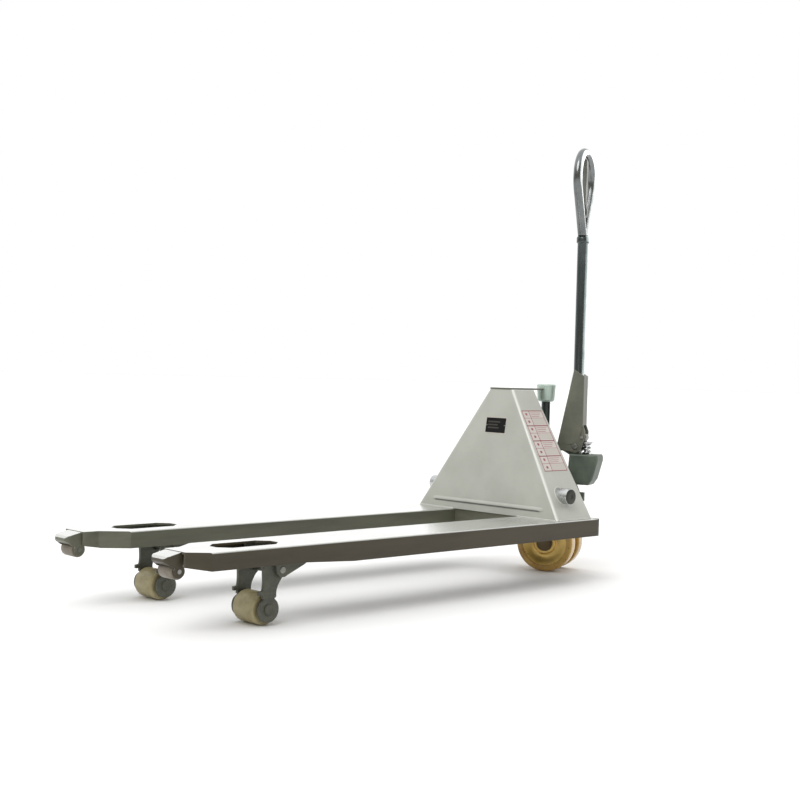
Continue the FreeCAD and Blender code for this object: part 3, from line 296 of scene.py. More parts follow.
# painted shade: both forks are one steel, with their sides painted dark as shade and dark reflection, the
# near fork's darker than the far fork's; the cross member takes the far fork's look
FORK_NEAR_SHADED_SIDES = fork_steel("fork_left_shaded_sides_look", (0.050, 0.040, 0.021))
FORK_FAR_SHADED_SIDES = fork_steel("fork_right_shaded_sides_look", (0.120, 0.122, 0.088))
CAP_SHADED_EDGE_LOOK = cap_steel("hump_cap_shaded_edge_look")
PLUG = painted("boss_plug_look", (0.050, 0.052, 0.040), (0.022, 0.024, 0.018), 0.34, (0.20, 0.20, 0.17),
               metallic=0.3)
ARM = painted("arm_look", (0.095, 0.098, 0.072), (0.055, 0.058, 0.043), 0.42, (0.30, 0.30, 0.26),
              metallic=0.2)
CASTING = painted("pump_look", (0.110, 0.135, 0.105), (0.062, 0.080, 0.062), 0.40, (0.30, 0.32, 0.28))
HEAD = painted("ram_head_look", (0.50, 0.60, 0.53), (0.38, 0.48, 0.42), 0.28, (0.8, 0.82, 0.8), 0.2, 0.3)
BRACKET = painted("bracket_look", (0.175, 0.175, 0.135), (0.115, 0.120, 0.093), 0.36,
                  (0.50, 0.50, 0.45), 0.2, 0.2)
BRIGHT = polished("bright_look", (0.62, 0.63, 0.63), 0.16, (0.45, 0.47, 0.47))
DULL = polished("bearing_look", (0.30, 0.30, 0.28), 0.30, (0.20, 0.20, 0.18))
RAM = polished("ram_look", (0.10, 0.115, 0.115), 0.22, (0.07, 0.08, 0.08))
LOOP = polished("loop_look", (0.22, 0.23, 0.23), 0.14, (0.12, 0.13, 0.13))
TUBE = polished("tube_look", (0.10, 0.115, 0.115), 0.20, (0.065, 0.08, 0.08))
ROLLER = nylon("roller_look", (0.37, 0.32, 0.175), (0.17, 0.135, 0.065))
ENTRY = nylon("entry_roller_look", (0.17, 0.145, 0.11), (0.09, 0.075, 0.055))
TYRE = polyurethane("tyre_look", (0.56, 0.35, 0.085), (0.36, 0.20, 0.04), 0.06, 0.2)
HUB = polyurethane("hub_look", (0.80, 0.56, 0.18), (0.58, 0.38, 0.10), 0.06, 0.7)
# painted shade: axle, washers and bearings are painted dark brown for the shadow the fork casts over the
# wheels' hubs
AXLE_SHADED = painted("axle_shaded_look", (0.15, 0.105, 0.045), (0.09, 0.06, 0.025), 0.38, (0.25, 0.2, 0.12), 0.2, 0.3)
BLACK = film("label_black_look", (0.006, 0.006, 0.006), 0.45, 0.15)
WHITE = film("label_white_look", (0.52, 0.48, 0.45))
RED = film("label_red_look", (0.27, 0.075, 0.085))
PALE = film("label_pale_look", (0.46, 0.43, 0.39))
GREY = film("label_grey_look", (0.055, 0.052, 0.045), 0.45, 0.15)


# ---------------------------------------------------------------- mesh helpers

def add_piece(name, mesh, body, look, place=None, replaced=()):
    """A mesh as a piece that rides on a body and takes a slot's finish."""
    piece = bpy.data.objects.new(name, mesh)
    bpy.context.scene.collection.objects.link(piece)
    mesh.materials.clear()
    mesh.materials.append(look)
    if place is not None:
        piece.matrix_world = place
    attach(piece, body)
    if replaced:
        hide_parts(*replaced)
    return piece


def from_curve(name, curve):
    holder = bpy.data.objects.new(name, curve)
    mesh = bpy.data.meshes.new_from_object(holder)
    bpy.data.objects.remove(holder)
    mesh.name = name
    return mesh


def rounded(corners, steps=6):
    """A closed outline through corners (x, y, cut), each rounded from cut before to cut after it."""
    points = []
    for i, (x, y, cut) in enumerate(corners):
        here = Vector((x, y))
        if cut == 0:
            points.append(here)
            continue
        before = Vector(corners[i - 1][:2]) - here
        after = Vector(corners[(i + 1) % len(corners)][:2]) - here
        start = here + before.normalized() * min(cut, before.length / 2)
        end = here + after.normalized() * min(cut, after.length / 2)
        for k in range(steps + 1):
            t = k / steps
            points.append((1 - t) ** 2 * start + 2 * t * (1 - t) * here + t ** 2 * end)
    return points


def arc(x, y, radius, start=0, end=360, steps=40):
    """Points along an arc; a full circle leaves its last point out."""
    last = steps if end - start == 360 else steps + 1
    angles = (math.radians(start + (end - start) * k / steps) for k in range(last))
    return [Vector((x + radius * math.cos(a), y + radius * math.sin(a))) for a in angles]


def plate_mesh(name, outlines, thickness, edge):
    """Plate in millimetres with softened edges, on the local XY plane; later outlines are holes."""
    curve = bpy.data.curves.new(name, "CURVE")
    curve.dimensions = "2D"
    curve.fill_mode = "BOTH"
    curve.extrude = (thickness / 2 - edge) * MM
    curve.bevel_depth = edge * MM
    curve.bevel_resolution = 1
    curve.offset = -edge * MM
    for outline in outlines:
        spline = curve.splines.new("POLY")
        spline.points.add(len(outline) - 1)
        for point, corner in zip(spline.points, outline):
            point.co = (corner[0] * MM, corner[1] * MM, 0, 1)
        spline.use_cyclic_u = True
    return from_curve(name, curve)


def rod_mesh(name, points, radius, closed=False, smooth=True):
    """A round bar in metres along points."""
    curve = bpy.data.curves.new(name, "CURVE")
    curve.dimensions = "3D"
    curve.bevel_depth = radius
    curve.bevel_resolution = 4
    curve.use_fill_caps = not closed
    spline = curve.splines.new("POLY")
    spline.points.add(len(points) - 1)
    for point, place in zip(spline.points, points):
        point.co = (*place, 1)
    spline.use_cyclic_u = closed
    mesh = from_curve(name, curve)
    if smooth:
        mesh.shade_smooth()
    return mesh


def lathe_mesh(name, profile, segments=72, smooth=math.radians(35)):
    """A closed profile of (along, radius) in millimetres turned round the local Z axis."""
    made = bmesh.new()
    circles = []
    for along, radius in profile:
        turn = [2 * math.pi * k / segments for k in range(segments)]
        circles.append([made.verts.new((radius * MM * math.cos(a), radius * MM * math.sin(a), along * MM))
                        for a in turn])
    for i, circle in enumerate(circles):
        other = circles[(i + 1) % len(circles)]
        for k in range(segments):
            after = (k + 1) % segments
            made.faces.new((circle[k], circle[after], other[after], other[k]))
    bmesh.ops.recalc_face_normals(made, faces=made.faces)
    mesh = bpy.data.meshes.new(name)
    made.to_mesh(mesh)
    made.free()
    mesh.shade_smooth()
    mesh.set_sharp_from_angle(angle=smooth)
    return mesh


def rounded_profile(corners, steps=5):
    return [tuple(point) for point in rounded(corners, steps)]


def axis_place(centre, axis):
    """A local frame at the centre whose Z axis is the given one."""
    turn = Vector(axis).normalized().to_track_quat("Z", "Y").to_matrix().to_4x4()
    return Matrix.Translation(centre) @ turn


def joined(meshes, name):
    """Several meshes as one."""
    made = bmesh.new()
    for mesh in meshes:
        made.from_mesh(mesh)
    whole = bpy.data.meshes.new(name)
    made.to_mesh(whole)
    made.free()
    return whole


def middle(node):
    low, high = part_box(node)
    return (low + high) / 2


# ---------------------------------------------------------------- hump: folded shell, cap and labels

BASE = FORK_TOP / MM
BASE_FRONT = (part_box("hump_cover")[1].x - RAM_X) / MM
REAR = (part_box("hump_cover")[0].x - RAM_X) / MM
BASE_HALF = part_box("hump_cover")[1].y / MM
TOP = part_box("hump_top_plate")[1].z / MM
TOP_FRONT = (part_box("hump_top_plate")[1].x - RAM_X) / MM + 5
TOP_HALF = 42.0
SHEET = 4.0
FOLD = 9.0
CAP = 5.0
SHELL_TOP = TOP - CAP - 0.1
RIM = 1.5
BEAD_HALF = 200.0
BEAD_HEIGHT = BASE + 25.0
BEAD_RADIUS = 6.0
BEAD_DEPTH = 4.6


def front_x(z):
    return BASE_FRONT + (TOP_FRONT - BASE_FRONT) * (z - BASE) / (TOP - BASE)


def half_width(z):
    return BASE_HALF + (TOP_HALF - BASE_HALF) * (z - BASE) / (TOP - BASE)


def bead(y, z):
    """How far the pressed bead stands out of the front sheet."""
    past = max(abs(y) - BEAD_HALF, 0.0)
    reach = math.hypot(past, z - BEAD_HEIGHT) / BEAD_RADIUS
    return BEAD_DEPTH * math.cos(reach * math.pi / 2) ** 0.6 if reach < 1 else 0.0


def hump_shell():
    """Sheet bent round two front folds, with the bead pressed into its front."""
    heights = [BASE, BASE + RIM, BASE + 12]
    heights += [BEAD_HEIGHT + step for step in (-8, -7, -6, -5, -4, -3, -2, -1, 0, 1.5, 3, 4.5, 6, 7.5)]
    count = 16
    first = BEAD_HEIGHT + 16
    heights += [first + (SHELL_TOP - first) * k / count for k in range(count)]
    heights += [SHELL_TOP - RIM, SHELL_TOP]
    fold_steps = 8
    across = 70
    made = bmesh.new()
    fold_highlight_layer = made.verts.layers.float.new("wear_and_painted_light")
    bead_shadow_layer = made.verts.layers.float.new("bead_shadow")
    rows = []
    for z in heights:
        front = front_x(z)
        half = half_width(z)
        row = []
        side_run = [REAR, REAR + RIM] + [REAR + (front - FOLD - REAR) * k / 5 for k in range(1, 5)]
        for x in side_run:
            row.append((x, -half, 0.0))
        # painted highlight: a bright band painted into each front fold, strongest halfway round the bend
        for k in range(fold_steps + 1):
            a = math.radians(90 * k / fold_steps)
            wear_and_painted_light = math.sin(2 * a)
            row.append((front - FOLD + FOLD * math.sin(a), -half + FOLD - FOLD * math.cos(a), wear_and_painted_light))
        for k in range(1, across):
            y = (half - FOLD) * (2 * k / across - 1)
            row.append((front + bead(y, z), y, 0.0))
        for k in range(fold_steps + 1):
            a = math.radians(90 - 90 * k / fold_steps)
            wear_and_painted_light = math.sin(2 * a)
            row.append((front - FOLD + FOLD * math.sin(a), half - FOLD + FOLD * math.cos(a), wear_and_painted_light))
        for x in reversed(side_run):
            row.append((x, half, 0.0))
        verts = []
        for x, y, wear_and_painted_light in row:
            vert = made.verts.new(truck(x, y, z))
            vert[fold_highlight_layer] = 0.75 * wear_and_painted_light ** 2
            # painted shadow: a dark line painted just under the bead on the front sheet
            if abs(y) < half - FOLD:
                under = math.hypot(max(abs(y) - BEAD_HALF, 0.0), z - BEAD_HEIGHT + 4.2) / 3.0
                vert[bead_shadow_layer] = max(0.0, 1.0 - under ** 2) * 0.85
            verts.append(vert)
        rows.append(verts)
    for low, high in zip(rows, rows[1:]):
        for k in range(len(low) - 1):
            made.faces.new((low[k], low[k + 1], high[k + 1], high[k]))
    mesh = bpy.data.meshes.new("hump_shell")
    made.to_mesh(mesh)
    made.free()
    mesh.shade_smooth()
    shell = add_piece("hump_shell", mesh, "fork_frame", HUMP, replaced=("hump_cover",))
    thick = shell.modifiers.new("sheet", "SOLIDIFY")
    thick.thickness = SHEET * MM
    thick.offset = -1
    trim = shell.modifiers.new("edges", "BEVEL")
    trim.width = 0.6 * MM
    trim.segments = 2
    trim.limit_method = "ANGLE"
    trim.angle_limit = math.radians(60)
    trim.harden_normals = True


def hump_cap():
    """The cap plate, narrowing back to a tongue that is cut round to fit the ram head."""
    head_radius = (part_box("ram_head")[1].x - RAM_X) / MM - 1
    wrap = 24
    end = (head_radius * math.cos(math.radians(wrap)), head_radius * math.sin(math.radians(wrap)))
    front = TOP_FRONT + 2.0
    shoulder = REAR + 6
    outline = rounded([(front, -TOP_HALF, 4), (front, TOP_HALF, 4), (shoulder, TOP_HALF, 20),
                       (end[0] + 14, end[1] + 4, 12), (*end, 0), (end[0], -end[1], 0),
                       (end[0] + 14, -end[1] - 4, 12), (shoulder, -TOP_HALF, 20)])
    seat = outline.index(Vector(end))
    outline[seat + 1:seat + 1] = arc(0, 0, head_radius, wrap, -wrap, 12)[1:-1]
    mesh = plate_mesh("hump_cap", [outline], CAP, 0.8)
    place = Matrix.Translation(truck(0, 0, TOP - CAP / 2))
    add_piece("hump_cap", mesh, "fork_frame", CAP_SHADED_EDGE_LOOK, place, ("hump_top_plate",))


def weld_bead(name, start, end, radius):
    """A run of overlapping weld ripples between two points."""
    ripple_length = 2.6 * MM
    per_ripple = 4
    steps = per_ripple * int((end - start).length / ripple_length)
    points = [start.lerp(end, k / steps) for k in range(steps + 1)]
    curve = bpy.data.curves.new(name, "CURVE")
    curve.dimensions = "3D"
    curve.bevel_depth = radius * MM
    curve.bevel_resolution = 3
    curve.use_fill_caps = True
    spline = curve.splines.new("POLY")
    spline.points.add(len(points) - 1)
    for k, (point, place) in enumerate(zip(spline.points, points)):
        point.co = (*place, 1)
        point.radius = 0.86 + 0.16 * abs(math.sin(math.pi * k / per_ripple))
    mesh = from_curve(name, curve)
    mesh.shade_smooth()
    return mesh


def welds():
    """Where the hump's front and sides stand on the forks; the ring where the shaft boss meets the side
    comes with the boss plugs.
    """
    runs = []
    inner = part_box("fork_left")[0].y / MM
    for side in (-1, 1):
        z = BASE + 0.6
        runs.append(weld_bead("front_weld", truck(BASE_FRONT + 0.5, side * (inner + 4), z),
                              truck(BASE_FRONT + 0.5, side * (BASE_HALF - FOLD), z), 2.4))
        runs.append(weld_bead("side_weld", truck(BASE_FRONT - FOLD, side * (BASE_HALF + 0.3), z),
                              truck(REAR + 4, side * (BASE_HALF + 0.3), z), 2.4))
    add_piece("hump_welds", joined(runs, "hump_welds"), "fork_frame", HUMP)


# the labels lie in the plane of the hump's left side: local x towards the rear, local y up the slope
LEAN = math.atan2(BASE_HALF - TOP_HALF, TOP - BASE)
SIDE_PLACE = Matrix.Translation(truck(0, BASE_HALF, BASE)) @ Matrix((
    (-1, 0, 0), (0, -math.sin(LEAN), math.cos(LEAN)), (0, math.cos(LEAN), math.sin(LEAN)),
)).transposed().to_4x4()
FRONT_LEAN = math.atan2(BASE_FRONT - TOP_FRONT, TOP - BASE)
FRONT_PLACE = Matrix.Translation(truck(BASE_FRONT, 0, BASE)) @ Matrix((
    (0, 1, 0),
    (-math.sin(FRONT_LEAN), 0, math.cos(FRONT_LEAN)),
    (math.cos(FRONT_LEAN), 0, math.sin(FRONT_LEAN)),
)).transposed().to_4x4()


def patch_mesh(name, outline, lift, thickness=0.3):
    """A thin film with softened edges, its lower face at the given lift over the sheet."""
    mesh = plate_mesh(name, [outline], thickness, 0.1)
    for vertex in mesh.vertices:
        vertex.co.z += (lift + thickness / 2) * MM
    return mesh


# heights over the floor and distances ahead of the ram axis, at the label stack's top and bottom
LABEL_HEIGHT = (472.0, 308.0)
LABEL_FRONT = (206.0, 220.0)
LABEL_REAR = (116.0, 118.0)
PLATE_HEIGHT = (406.0, 448.0)
PLATE_SIDES = (-38.0, 36.0)


def between(ends, share):
    return ends[0] + (ends[1] - ends[0]) * share


def label_point(across, down):
    """A point of the label stack: 0..1 from its front edge back and 0..1 from its top down."""
    front = -between(LABEL_FRONT, down)
    rear = -between(LABEL_REAR, down)
    return Vector((between((front, rear), across), (between(LABEL_HEIGHT, down) - BASE) / math.cos(LEAN)))


def cell(left, top, right, bottom, cut=0.0):
    corners = ((left, bottom), (right, bottom), (right, top), (left, top))
    return rounded([(*label_point(*corner), cut) for corner in corners], 3)


def side_labels():
    """Four printed films one under another, each with two rows: a dot and a pale panel, in red frames."""
    films, frames, panels, dots = [], [], [], []
    rows = 8
    for k in range(rows // 2):
        top = 2 * k / rows
        films.append(patch_mesh("film", cell(0, top + 0.003, 1, top + 2 / rows - 0.003, 1.5), 0.1))
    for k in range(rows):
        top = k / rows
        bottom = (k + 1) / rows
        thick = 0.014 if k % 2 == 0 else 0.006
        frames.append(patch_mesh("line", cell(0.02, top, 0.98, top + thick), 0.4, 0.2))
        for left in (0.02, 0.34, 0.955):
            frames.append(patch_mesh("line", cell(left, top, left + 0.022, bottom), 0.4, 0.2))
        if k % 2 == 1:
            panels.append(patch_mesh("panel", cell(0.39, top + 0.018, 0.94, bottom - 0.02, 1.0), 0.4, 0.2))
        else:
            for line in (0.30, 0.55, 0.80):
                at = top + line / rows
                frames.append(patch_mesh("line", cell(0.40, at, 0.92 - 0.2 * line, at + 0.007), 0.4, 0.2))
        centre = label_point(0.19, (top + bottom) / 2)
        dots.append(patch_mesh("dot", arc(centre.x, centre.y, 4.2), 0.4, 0.25))
    frames.append(patch_mesh("line", cell(0.02, 0.99, 0.98, 1.0), 0.4, 0.2))
    for name, meshes, look in (("label_films", films, WHITE), ("label_lines", frames, RED),
                               ("label_panels", panels, PALE), ("label_dots", dots, RED)):
        add_piece(name, joined(meshes, name), "fork_frame", look, SIDE_PLACE)


def front_plate():
    """A black plate in a pale border, with two rivets and three plain bars."""
    left, right = PLATE_SIDES
    low, high = ((height - BASE) / math.cos(FRONT_LEAN) for height in PLATE_HEIGHT)

    def box_outline(grow, cut):
        return rounded([(left - grow, low - grow, cut), (right + grow, low - grow, cut),
                        (right + grow, high + grow, cut), (left - grow, high + grow, cut)], 4)

    border = patch_mesh("border", box_outline(3.0, 3.0), 0.05, 0.35)
    plate = patch_mesh("plate", box_outline(0.0, 2.0), 0.4, 0.6)
    bars = []
    bar_start = left + 8
    full_bar = 56
    bar_height = 4
    for at, reach in ((0.68, 0.80), (0.48, 0.66), (0.28, 0.74)):
        y = between((low, high), at)
        end = bar_start + reach * full_bar
        bar = rounded([(bar_start, y, 0.8), (end, y, 0.8), (end, y + bar_height, 0.8),
                       (bar_start, y + bar_height, 0.8)], 3)
        bars.append(patch_mesh("bar", bar, 1.0, 0.15))
    head = rounded_profile([(0.3, 0.01, 0), (0.3, 1.7, 0), (1.5, 1.3, 0.5), (1.9, 0.01, 0)], 3)
    rivets = []
    for x in (left + 3.5, right - 3.5):
        rivet = lathe_mesh("rivet", head, 16)
        rivet.transform(Matrix.Translation((x * MM, (low + high) / 2 * MM, 0.6 * MM)))
        rivets.append(rivet)
    for name, mesh, look in (("plate_border", border, PALE), ("plate_black", plate, BLACK),
                             ("plate_bars", joined(bars, "plate_bars"), GREY),
                             ("plate_rivets", joined(rivets, "plate_rivets"), DULL)):
        add_piece(name, mesh, "fork_frame", look, FRONT_PLACE)


# ---------------------------------------------------------------- rollers, wheels and arms

def load_rollers():
    """Barrel rollers with rounded shoulders and a recess round each bearing."""
    for side in ("left", "right"):
        node = "load_roller_" + side
        low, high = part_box(node)
        radius = (high.z - low.z) / 2 / MM
        half = (high.y - low.y) / 2 / MM
        bore = (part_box("roller_bearings_" + side)[1].z - middle(node).z) / MM
        profile = rounded_profile([
            (-half, radius - 1, 5), (half, radius - 1, 5), (half, bore + 5, 1), (half - 3, bore + 3, 1),
            (half - 3, bore, 0), (-half + 3, bore, 0), (-half + 3, bore + 3, 1), (-half, bore + 5, 1),
        ])
        crowned = []
        for along, out in profile:
            crown = 1 - (along / half) ** 2 if out > radius - 2 else 0.0
            crowned.append((along, out + crown))
        mesh = lathe_mesh(node + "_turned", crowned)
        add_piece(node + "_turned", mesh, node, ROLLER,
                  axis_place(middle(node), (0, 1, 0)), (node,))


def steer_wheels():
    """Wheels with a rounded tread and a dished face that runs in turned rings to the hub's rim."""
    for side, out in (("left", 1), ("right", -1)):
        joint = JOINTS["steer_wheel_spin_" + side]
        axis = Vector(joint["axis"]) * out
        centre = Vector(joint["pos_m"])
        radius = centre.z / MM
        half = 21.0
        tyre_inner = 66.0
        profile = rounded_profile([
            (-half, radius - 0.5, 6), (half, radius - 0.5, 6), (half, tyre_inner + 3, 1),
            (half - 1, tyre_inner, 0), (-half + 1, tyre_inner, 0), (-half, tyre_inner + 3, 1),
        ])
        place = axis_place(centre, axis)
        body = "steer_wheel_" + side
        tread = lathe_mesh("tread_" + side, profile, 96)
        add_piece("tread_" + side, tread, body, TYRE, place, ("tyre_" + side,))
        bore = 24.2
        face = rounded_profile([
            (half - 1.5, tyre_inner, 1), (half - 3, tyre_inner - 6, 4), (half - 10, 44, 12),
            (half - 9, 34, 4), (half - 2, 31, 3), (half - 2, bore, 1),
            (-half + 2, bore, 1), (-half + 2, 31, 3), (-half + 9, 34, 4),
            (-half + 10, 44, 12), (-half + 3, tyre_inner - 6, 4), (-half + 1.5, tyre_inner, 1),
        ])
        add_piece("wheel_face_" + side, lathe_mesh("wheel_face_" + side, face, 96), body, HUB,
                  place, ("wheel_hub_" + side,))


def load_arms():
    """Flame-cut cheeks: a round roller end, a waisted neck, a stop tab and the crank at the top."""
    for side in ("left", "right"):
        roller = Vector(JOINTS["load_roller_spin_" + side]["pos_m"])
        pivot = (Vector(JOINTS["arm_fold_" + side]["pos_m"]) - roller) / MM
        axle = (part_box("roller_axle_" + side)[1].z - roller.z) / MM - 3
        pivot_radius = (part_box("arm_pivots")[1].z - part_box("arm_pivots")[0].z) / 2 / MM
        for lateral in ("inner", "outer"):
            node = "load_arm_%s_%s" % (side, lateral)
            low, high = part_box(node)
            top = (high.z - roller.z) / MM
            outline = arc(0, 0, 28.5, 142, 398, 44) + rounded([
                (18, 24, 5), (17, 33, 1.5), (28, 33, 1.2), (28, 42, 1.5), (17, 43, 3), (15, 62, 16),
                (18, pivot.z + 8, 14), (4, top - 10, 8), (-14, top, 7), (-24, top - 9, 6),
                (pivot.x - 17, pivot.z + 6, 12), (pivot.x - 13, pivot.z - 12, 10),
                (pivot.x - 2, pivot.z - 20, 12),
                (-20, 44, 22), (-21, 25, 6),
            ])
            holes = [arc(0, 0, axle), arc(pivot.x, pivot.z, pivot_radius + 0.2)]
            mesh = plate_mesh(node + "_cut", [outline, *holes], (high.y - low.y) / MM, 0.9)
            centre = Vector((roller.x, (low.y + high.y) / 2, roller.z))
            upright = Matrix(((1, 0, 0), (0, 0, 1), (0, -1, 0))).transposed().to_4x4()
            place = Matrix.Translation(centre) @ upright
            add_piece(node + "_cut", mesh, "load_arm_" + side, ARM, place, (node,))


def boss_plugs():
    """Dark domed plugs with a centre hole that close the rocker shaft's bosses."""
    low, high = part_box("rocker_bosses")
    radius = (high.z - low.z) / 2 / MM
    profile = rounded_profile([
        (-2, 0.2, 0), (-2, radius - 1.2, 0), (1.2, radius - 1.2, 1.5), (2.8, radius - 6, 3),
        (2.6, 6, 1), (0.6, 4.5, 1), (0.4, 0.2, 0),
    ])
    for side, y, out in (("left", high.y, 1), ("right", low.y, -1)):
        centre = Vector(((low.x + high.x) / 2, y, (low.z + high.z) / 2))
        add_piece("boss_plug_" + side, lathe_mesh("boss_plug_" + side, profile, 48), "fork_frame", PLUG,
                  axis_place(centre, (0, out, 0)))
        around = []
        for step in arc(0, 0, (radius + 0.5) * MM, steps=48):
            z = centre.z + step.y
            around.append(Vector((centre.x + step.x, out * half_width(z / MM) * MM, z)))
        ring = rod_mesh("boss_weld_" + side, around, 2.2 * MM, closed=True)
        add_piece("boss_weld_" + side, ring, "fork_frame", HUMP)


def return_spring():
    """The plunger's coil spring, with flat closed ends."""
    low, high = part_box("plunger_spring")
    centre = (low + high) / 2
    wire = 2.1 * MM
    radius = (high.x - low.x) / 2 - wire
    turns = 7
    per_turn = 22
    points = []
    for k in range(turns * per_turn + 1):
        t = k / (turns * per_turn)
        climb = min(max((t * turns - 0.7) / (turns - 1.4), 0.0), 1.0)
        a = 2 * math.pi * turns * t
        points.append(Vector((centre.x + radius * math.cos(a), centre.y + radius * math.sin(a),
                              low.z + wire + (high.z - low.z - 2 * wire) * climb)))
    coil = rod_mesh("return_spring", points, wire)
    spring = add_piece("return_spring", coil, "pump", BRIGHT, replaced=("plunger_spring",))
    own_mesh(spring)


# ---------------------------------------------------------------- CAD nodes that stay

LOOKS = {
    "fork_left": FORK_NEAR_SHADED_SIDES, "fork_right": FORK_FAR_SHADED_SIDES, "fork_tip_left": FORK_NEAR_SHADED_SIDES, "fork_tip_right": FORK_FAR_SHADED_SIDES,
    "fork_end_plates": ARM, "cross_member": FORK_FAR_SHADED_SIDES, "pivot_lugs": ARM,
    "arm_pivots": DULL, "pivot_spacers": DULL, "entry_pins": DULL,
    "rod_pins_left": DULL, "rod_pins_right": DULL,
    "rocker_bosses": BRIGHT, "rocker_shaft": DULL,
    "torsion_tube": ARM, "cradle_arms": ARM, "rod_levers": ARM,
    "push_rod_left": ARM, "push_rod_right": ARM,
    "roller_axle_left": ARM, "roller_axle_right": ARM,
    "roller_bearings_left": DULL, "roller_bearings_right": DULL,
    "entry_roller_left": ENTRY, "entry_roller_right": ENTRY,
    "ram": RAM, "ram_head": HEAD, "thrust_carrier": ARM, "thrust_bearing": DULL,
    "pump_base": CASTING, "main_cylinder": CASTING, "pump_housing": CASTING,
    "plunger": BRIGHT, "valve_lever": CASTING, "valve_pin": DULL,
    "wheel_axle": AXLE_SHADED, "axle_washers": AXLE_SHADED, "wheel_bearings_left": AXLE_SHADED, "wheel_bearings_right": AXLE_SHADED,
    "handle_bracket": BRACKET, "bracket_pins": DULL, "press_roller": DULL,
    "handle_tube": TUBE, "handle_loop": LOOP, "release_lever": DULL, "lever_pin": DULL, "pull_rod": DULL,
}
EDGE = {"pump_housing": 2.0, "pump_base": 1.5, "handle_bracket": 1.2, "ram_head": 0.8}


def soften(piece, width):
    """Small rounds on a piece's sharp edges, so that they catch the light."""
    weld = piece.modifiers.new("weld", "WELD")
    weld.merge_threshold = 0.01 * MM
    bevel = piece.modifiers.new("edges", "BEVEL")
    bevel.width = width * MM
    bevel.segments = 3
    bevel.limit_method = "ANGLE"
    bevel.angle_limit = math.radians(32)
    bevel.miter_outer = "MITER_ARC"
    bevel.harden_normals = True


for node, look in LOOKS.items():
    piece = frame["nodes"][node]
    piece.data.materials.clear()
    piece.data.materials.append(look)
    soften(piece, EDGE.get(node, 0.5))


# ---------------------------------------------------------------- floor, light and camera

def flat_material(name, base, roughness):
    graph = Graph(name)
    tone = graph.mix(graph.noise(3, 3), base, [0.97 * part for part in base])
    return graph.finish(tone, roughness, specular=0.2)


def backdrop():
    """A wide pale floor."""
    reach = 60.0
    mesh = bpy.data.meshes.new("backdrop")
    mesh.from_pydata([(-reach, -reach, 0), (reach, -reach, 0), (reach, reach, 0), (-reach, reach, 0)],
                     [], [(0, 1, 2, 3)])
    floor = bpy.data.objects.new("backdrop", mesh)
    bpy.context.scene.collection.objects.link(floor)
    mesh.materials.append(flat_material("floor_look", (0.92, 0.92, 0.92), 0.7))


CAMERA_PLACE = Vector((2.3875, 2.5744, 0.5680))
CAMERA_YAW = -133.783
CAMERA_PITCH = -1.145
CAMERA_ROLL = 1.583
CAMERA_LENS = 60.37
SENSOR = 36.0


def camera():
    yaw, pitch, roll = (math.radians(v) for v in (CAMERA_YAW, CAMERA_PITCH, CAMERA_ROLL))
    ahead = Vector((math.cos(pitch) * math.cos(yaw), math.cos(pitch) * math.sin(yaw), math.sin(pitch)))
    right = ahead.cross(Vector((0, 0, 1))).normalized()
    up = right.cross(ahead)
    level_right = math.cos(roll) * right + math.sin(roll) * up
    level_up = -math.sin(roll) * right + math.cos(roll) * up
    data = bpy.data.cameras.new("camera")
    data.lens = CAMERA_LENS
    data.sensor_width = SENSOR
    data.clip_end = 100
    made = bpy.data.objects.new("camera", data)
    rotation = Matrix((level_right, level_up, -ahead)).transposed().to_4x4()
    made.matrix_world = Matrix.Translation(CAMERA_PLACE) @ rotation
    bpy.context.scene.collection.objects.link(made)
    bpy.context.scene.camera = made


SKY_STRENGTH = 1.25
SKY_SIDE = Vector((-0.50, -0.45, 0.74))


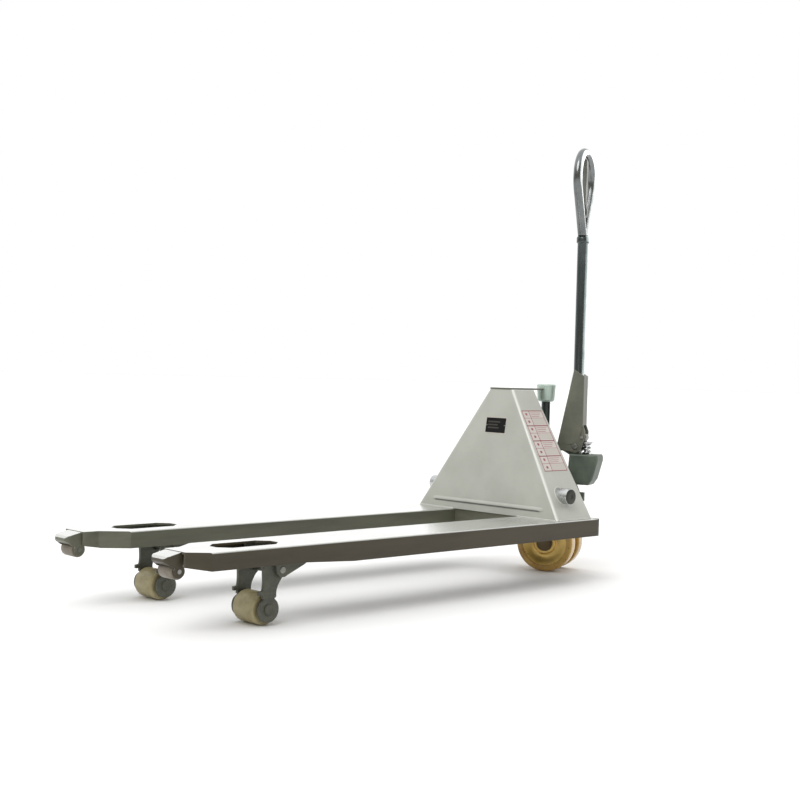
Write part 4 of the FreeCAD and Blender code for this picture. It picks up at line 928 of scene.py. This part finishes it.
def sky():
    """White for the eye; as a light, bright overhead and behind the truck, and dim low in front of it."""
    world = bpy.data.worlds.new("studio")
    world.use_nodes = True
    tree = world.node_tree
    white = tree.nodes["Background"]
    white.inputs["Color"].default_value = (1, 1, 1, 1)
    white.inputs["Strength"].default_value = 1.0
    lit = tree.nodes.new("ShaderNodeBackground")
    lit.inputs["Strength"].default_value = SKY_STRENGTH
    along = tree.nodes.new("ShaderNodeVectorMath")
    along.operation = "DOT_PRODUCT"
    along.inputs[1].default_value = SKY_SIDE.normalized()
    tree.links.new(tree.nodes.new("ShaderNodeTexCoord").outputs["Generated"], along.inputs[0])
    ramp = tree.nodes.new("ShaderNodeValToRGB")
    ramp.color_ramp.elements[0].position = 0.0
    ramp.color_ramp.elements[0].color = (0.30, 0.29, 0.26, 1)
    ramp.color_ramp.elements[1].position = 0.55
    ramp.color_ramp.elements[1].color = (1.0, 1.0, 1.0, 1)
    tree.links.new(along.outputs["Value"], ramp.inputs["Fac"])
    tree.links.new(ramp.outputs["Color"], lit.inputs["Color"])
    pick = tree.nodes.new("ShaderNodeMixShader")
    tree.links.new(tree.nodes.new("ShaderNodeLightPath").outputs["Is Camera Ray"], pick.inputs["Fac"])
    tree.links.new(lit.outputs["Background"], pick.inputs[1])
    tree.links.new(white.outputs["Background"], pick.inputs[2])
    tree.links.new(pick.outputs["Shader"], tree.nodes["World Output"].inputs["Surface"])
    bpy.context.scene.world = world


def sun(name, toward, strength, angle, only=()):
    """A broad soft light from a direction, for everything or for a few pieces only."""
    data = bpy.data.lights.new(name, "SUN")
    data.energy = strength
    data.angle = math.radians(angle)
    lamp = bpy.data.objects.new(name, data)
    lamp.matrix_world = Vector(toward).to_track_quat("Z", "Y").to_matrix().to_4x4()
    bpy.context.scene.collection.objects.link(lamp)
    if only:
        lit = bpy.data.collections.new(name + "_pieces")
        for node in only:
            lit.objects.link(frame["nodes"][node])
        lamp.light_linking.receiver_collection = lit


def studio():
    sky()
    sun("key", (0.70, 0.22, 0.78), 1.5, 40)
    sun("handle_rim", (-0.85, 0.48, 0.15), 6.5, 90, ("handle_tube", "handle_loop"))
    bpy.context.scene.view_settings.view_transform = "Standard"


hump_shell()
hump_cap()
welds()
side_labels()
front_plate()
load_rollers()
steer_wheels()
load_arms()
boss_plugs()
return_spring()
backdrop()
studio()
camera()
